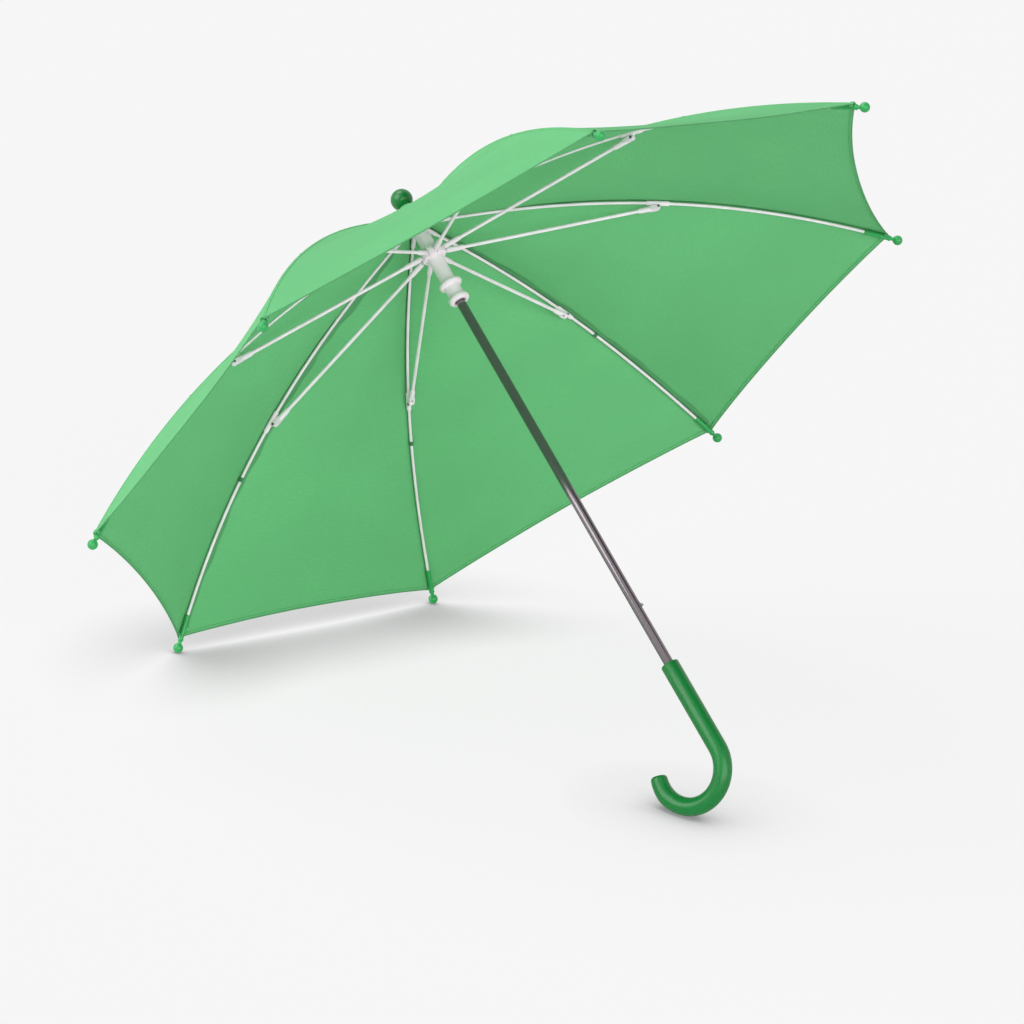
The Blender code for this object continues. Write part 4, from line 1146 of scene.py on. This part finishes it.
def handle():
    """Hooked grip: a straight sleeve on the shaft, a round bend and a rounded end."""
    a = math.radians(HOOK_DEG)
    out = Vector((math.cos(a), math.sin(a), 0))
    side = Vector((-math.sin(a), math.cos(a), 0))
    down = Vector((0, 0, -1))
    lip = HANDLE_LIP
    mouth = [(3 * MM, HANDLE_BORE_R), (0.3 * MM, HANDLE_BORE_R), (0.0, HANDLE_BORE_R + 0.3 * MM)]
    mouth += [(0.0, HANDLE_R - lip), (lip * 0.3, HANDLE_R - lip * 0.3), (lip, HANDLE_R)]
    stations = straight((0, 0, HANDLE_TOP), down, mouth)
    total = math.radians(HOOK_ARC_DEG)
    taper = math.radians(HANDLE_TAPER_DEG)
    count = 56
    for i in range(count + 1):
        b = total * i / count
        spot = out * (HOOK_R - HOOK_R * math.cos(b)) + Vector((0, 0, HOOK_FROM - HOOK_R * math.sin(b)))
        way = out * math.sin(b) + down * math.cos(b)
        late = max(0.0, b - total + taper) / taper
        inward = out * math.cos(b) + Vector((0, 0, math.sin(b)))
        stations.append((spot + inward * (HANDLE_TUCK * late), way, HANDLE_R - HANDLE_TAPER * late))
    spot, way, wide = stations.pop()
    round_r = HANDLE_ROUND
    for i in range(9):
        t = math.radians(90) * i / 8
        ahead = HANDLE_END - round_r + round_r * math.sin(t)
        stations.append((spot + way * ahead, way, wide - round_r + round_r * math.cos(t)))
    mesh = swept(stations, side, 40)
    piece("handle_moulding", mesh, handle_green, "shaft", ("handle",))


# ---- floor, light and camera ----
def flat_object(name, material, make, **shape):
    """A flat mesh of the set, made by one of bmesh's operators."""
    bm = bmesh.new()
    make(bm, **shape)
    mesh = bpy.data.meshes.new(name)
    bm.to_mesh(mesh)
    bm.free()
    mesh.materials.append(material)
    obj = bpy.data.objects.new(name, mesh)
    bpy.context.scene.collection.objects.link(obj)
    return obj


def matt(name):
    s = Surface(name, Roughness=1.0)
    s.shader.inputs["Specular IOR Level"].default_value = 0.0
    return s


def direction(azimuth_deg, elevation_deg):
    a, e = math.radians(azimuth_deg), math.radians(elevation_deg)
    return Vector((math.cos(a) * math.cos(e), math.sin(a) * math.cos(e), math.sin(e)))


def floor():
    """Pale floor: the camera sees mostly an even tone with contact shadows, all other rays a lit surface."""
    s = matt("pale_floor")
    level = PAPER / (WORLD_LIGHT + sum(lamp[3] for lamp in LAMPS))
    s.colour((level, level, level, 1.0))
    near = s.add("AmbientOcclusion", Distance=CONTACT_REACH, Normal=CONTACT_FROM).outputs["AO"]
    tone = s.stretch(near, CONTACT_OPEN, 1.0, CONTACT_TONE, 1.0)
    glow = s.add("Emission", Color=(PAPER, PAPER, PAPER, 1.0), Strength=tone)
    seen = s.math("MULTIPLY", s.add("LightPath").outputs["Is Camera Ray"], FLOOR_GLOW)
    mix = s.add("MixShader")
    s.put(mix.inputs[0], seen)
    s.put(mix.inputs[1], s.shader.outputs[0])
    s.put(mix.inputs[2], glow.outputs[0])
    s.put(s.tree.nodes["Material Output"].inputs["Surface"], mix.outputs[0])
    grid = {"x_segments": 1, "y_segments": 1, "size": FLOOR_HALF}
    flat_object("studio_floor", s.material, bmesh.ops.create_grid, **grid)


def card():
    """Round black card over the set that only reflections see: the shaft's dark band."""
    s = matt("black_card")
    s.colour((0.0, 0.0, 0.0, 1.0))
    circle = {"cap_ends": True, "segments": 48, "radius": CARD_R}
    obj = flat_object("black_card", s.material, bmesh.ops.create_circle, **circle)
    obj.location = CARD_AT
    obj.rotation_euler = CARD_AT.to_track_quat("Z", "Y").to_euler()
    obj.visible_camera = False
    obj.visible_diffuse = False
    obj.visible_shadow = False
    obj.visible_transmission = False


def world():
    """Even light from all sides, and the paper's tone for the camera and in reflections."""
    made = bpy.data.worlds.new("studio")
    made.use_nodes = True
    tree = made.node_tree
    lit = tree.nodes["Background"]
    lit.inputs["Color"].default_value = (1, 1, 1, 1)
    lit.inputs["Strength"].default_value = WORLD_LIGHT
    seen = tree.nodes.new("ShaderNodeBackground")
    seen.inputs["Color"].default_value = (PAPER, PAPER, PAPER, 1)
    path = tree.nodes.new("ShaderNodeLightPath")
    total = path.outputs["Is Camera Ray"]
    for name in ("Is Glossy Ray", "Is Transmission Ray"):
        add = tree.nodes.new("ShaderNodeMath")
        add.operation = "MAXIMUM"
        tree.links.new(total, add.inputs[0])
        tree.links.new(path.outputs[name], add.inputs[1])
        total = add.outputs[0]
    mix = tree.nodes.new("ShaderNodeMixShader")
    tree.links.new(total, mix.inputs[0])
    tree.links.new(lit.outputs[0], mix.inputs[1])
    tree.links.new(seen.outputs[0], mix.inputs[2])
    tree.links.new(mix.outputs[0], tree.nodes["World Output"].inputs["Surface"])
    bpy.context.scene.world = made


def lamp(name, azimuth_deg, elevation_deg, share, soft_deg):
    """A distant lamp that gives a level surface that share of its light."""
    data = bpy.data.lights.new(name, "SUN")
    data.energy = share * math.pi / math.sin(math.radians(elevation_deg))
    data.angle = math.radians(soft_deg)
    obj = bpy.data.objects.new(name, data)
    obj.rotation_euler = direction(azimuth_deg, elevation_deg).to_track_quat("Z", "Y").to_euler()
    bpy.context.scene.collection.objects.link(obj)


def camera():
    back = direction(CAMERA_AZIMUTH, CAMERA_ELEVATION)
    level = Vector((0, 0, 1)).cross(back).normalized()
    turn = Matrix((level, back.cross(level), back)).transposed().to_4x4()
    data = bpy.data.cameras.new("camera")
    data.lens = LENS
    data.sensor_width = SENSOR
    data.clip_end = 200
    obj = bpy.data.objects.new("camera", data)
    obj.matrix_world = (
        Matrix.Translation(CAMERA_TARGET + back * CAMERA_DISTANCE)
        @ turn
        @ Matrix.Rotation(math.radians(CAMERA_ROLL), 4, "Z")
    )
    bpy.context.scene.collection.objects.link(obj)
    bpy.context.scene.camera = obj


def metal_of(*nodes):
    for name in nodes:
        obj = frame["nodes"][name]
        obj.data.materials.clear()
        obj.data.materials.append(dark_metal)


camera()
floor()
card()
world()
for settings in LAMPS:
    lamp(*settings)
shaft()
handle()
crown()
ferrule()
rosette()
runner()
metal_of("crown_wire", "runner_wire", "upper_catch", "lower_catch")
for k in range(RIBS):
    rib(k)
    rib_joint(k)
    joint_pin(k)
    stretcher(k)
    tip(k)
    bar_tack(k)
for k in TIE_R:
    tie(k)
strips = [seam_strip(k) for k in range(RIBS)]
allowances = [seam_allowance(k) for k in range(RIBS)]
for k in range(RIBS):
    for first in (True, False):
        cloth_piece, flat, area = half_panel(k, first)
for first in (True, False):
    strap = closing_strap(first)

bpy.context.scene.view_settings.view_transform = "Standard"
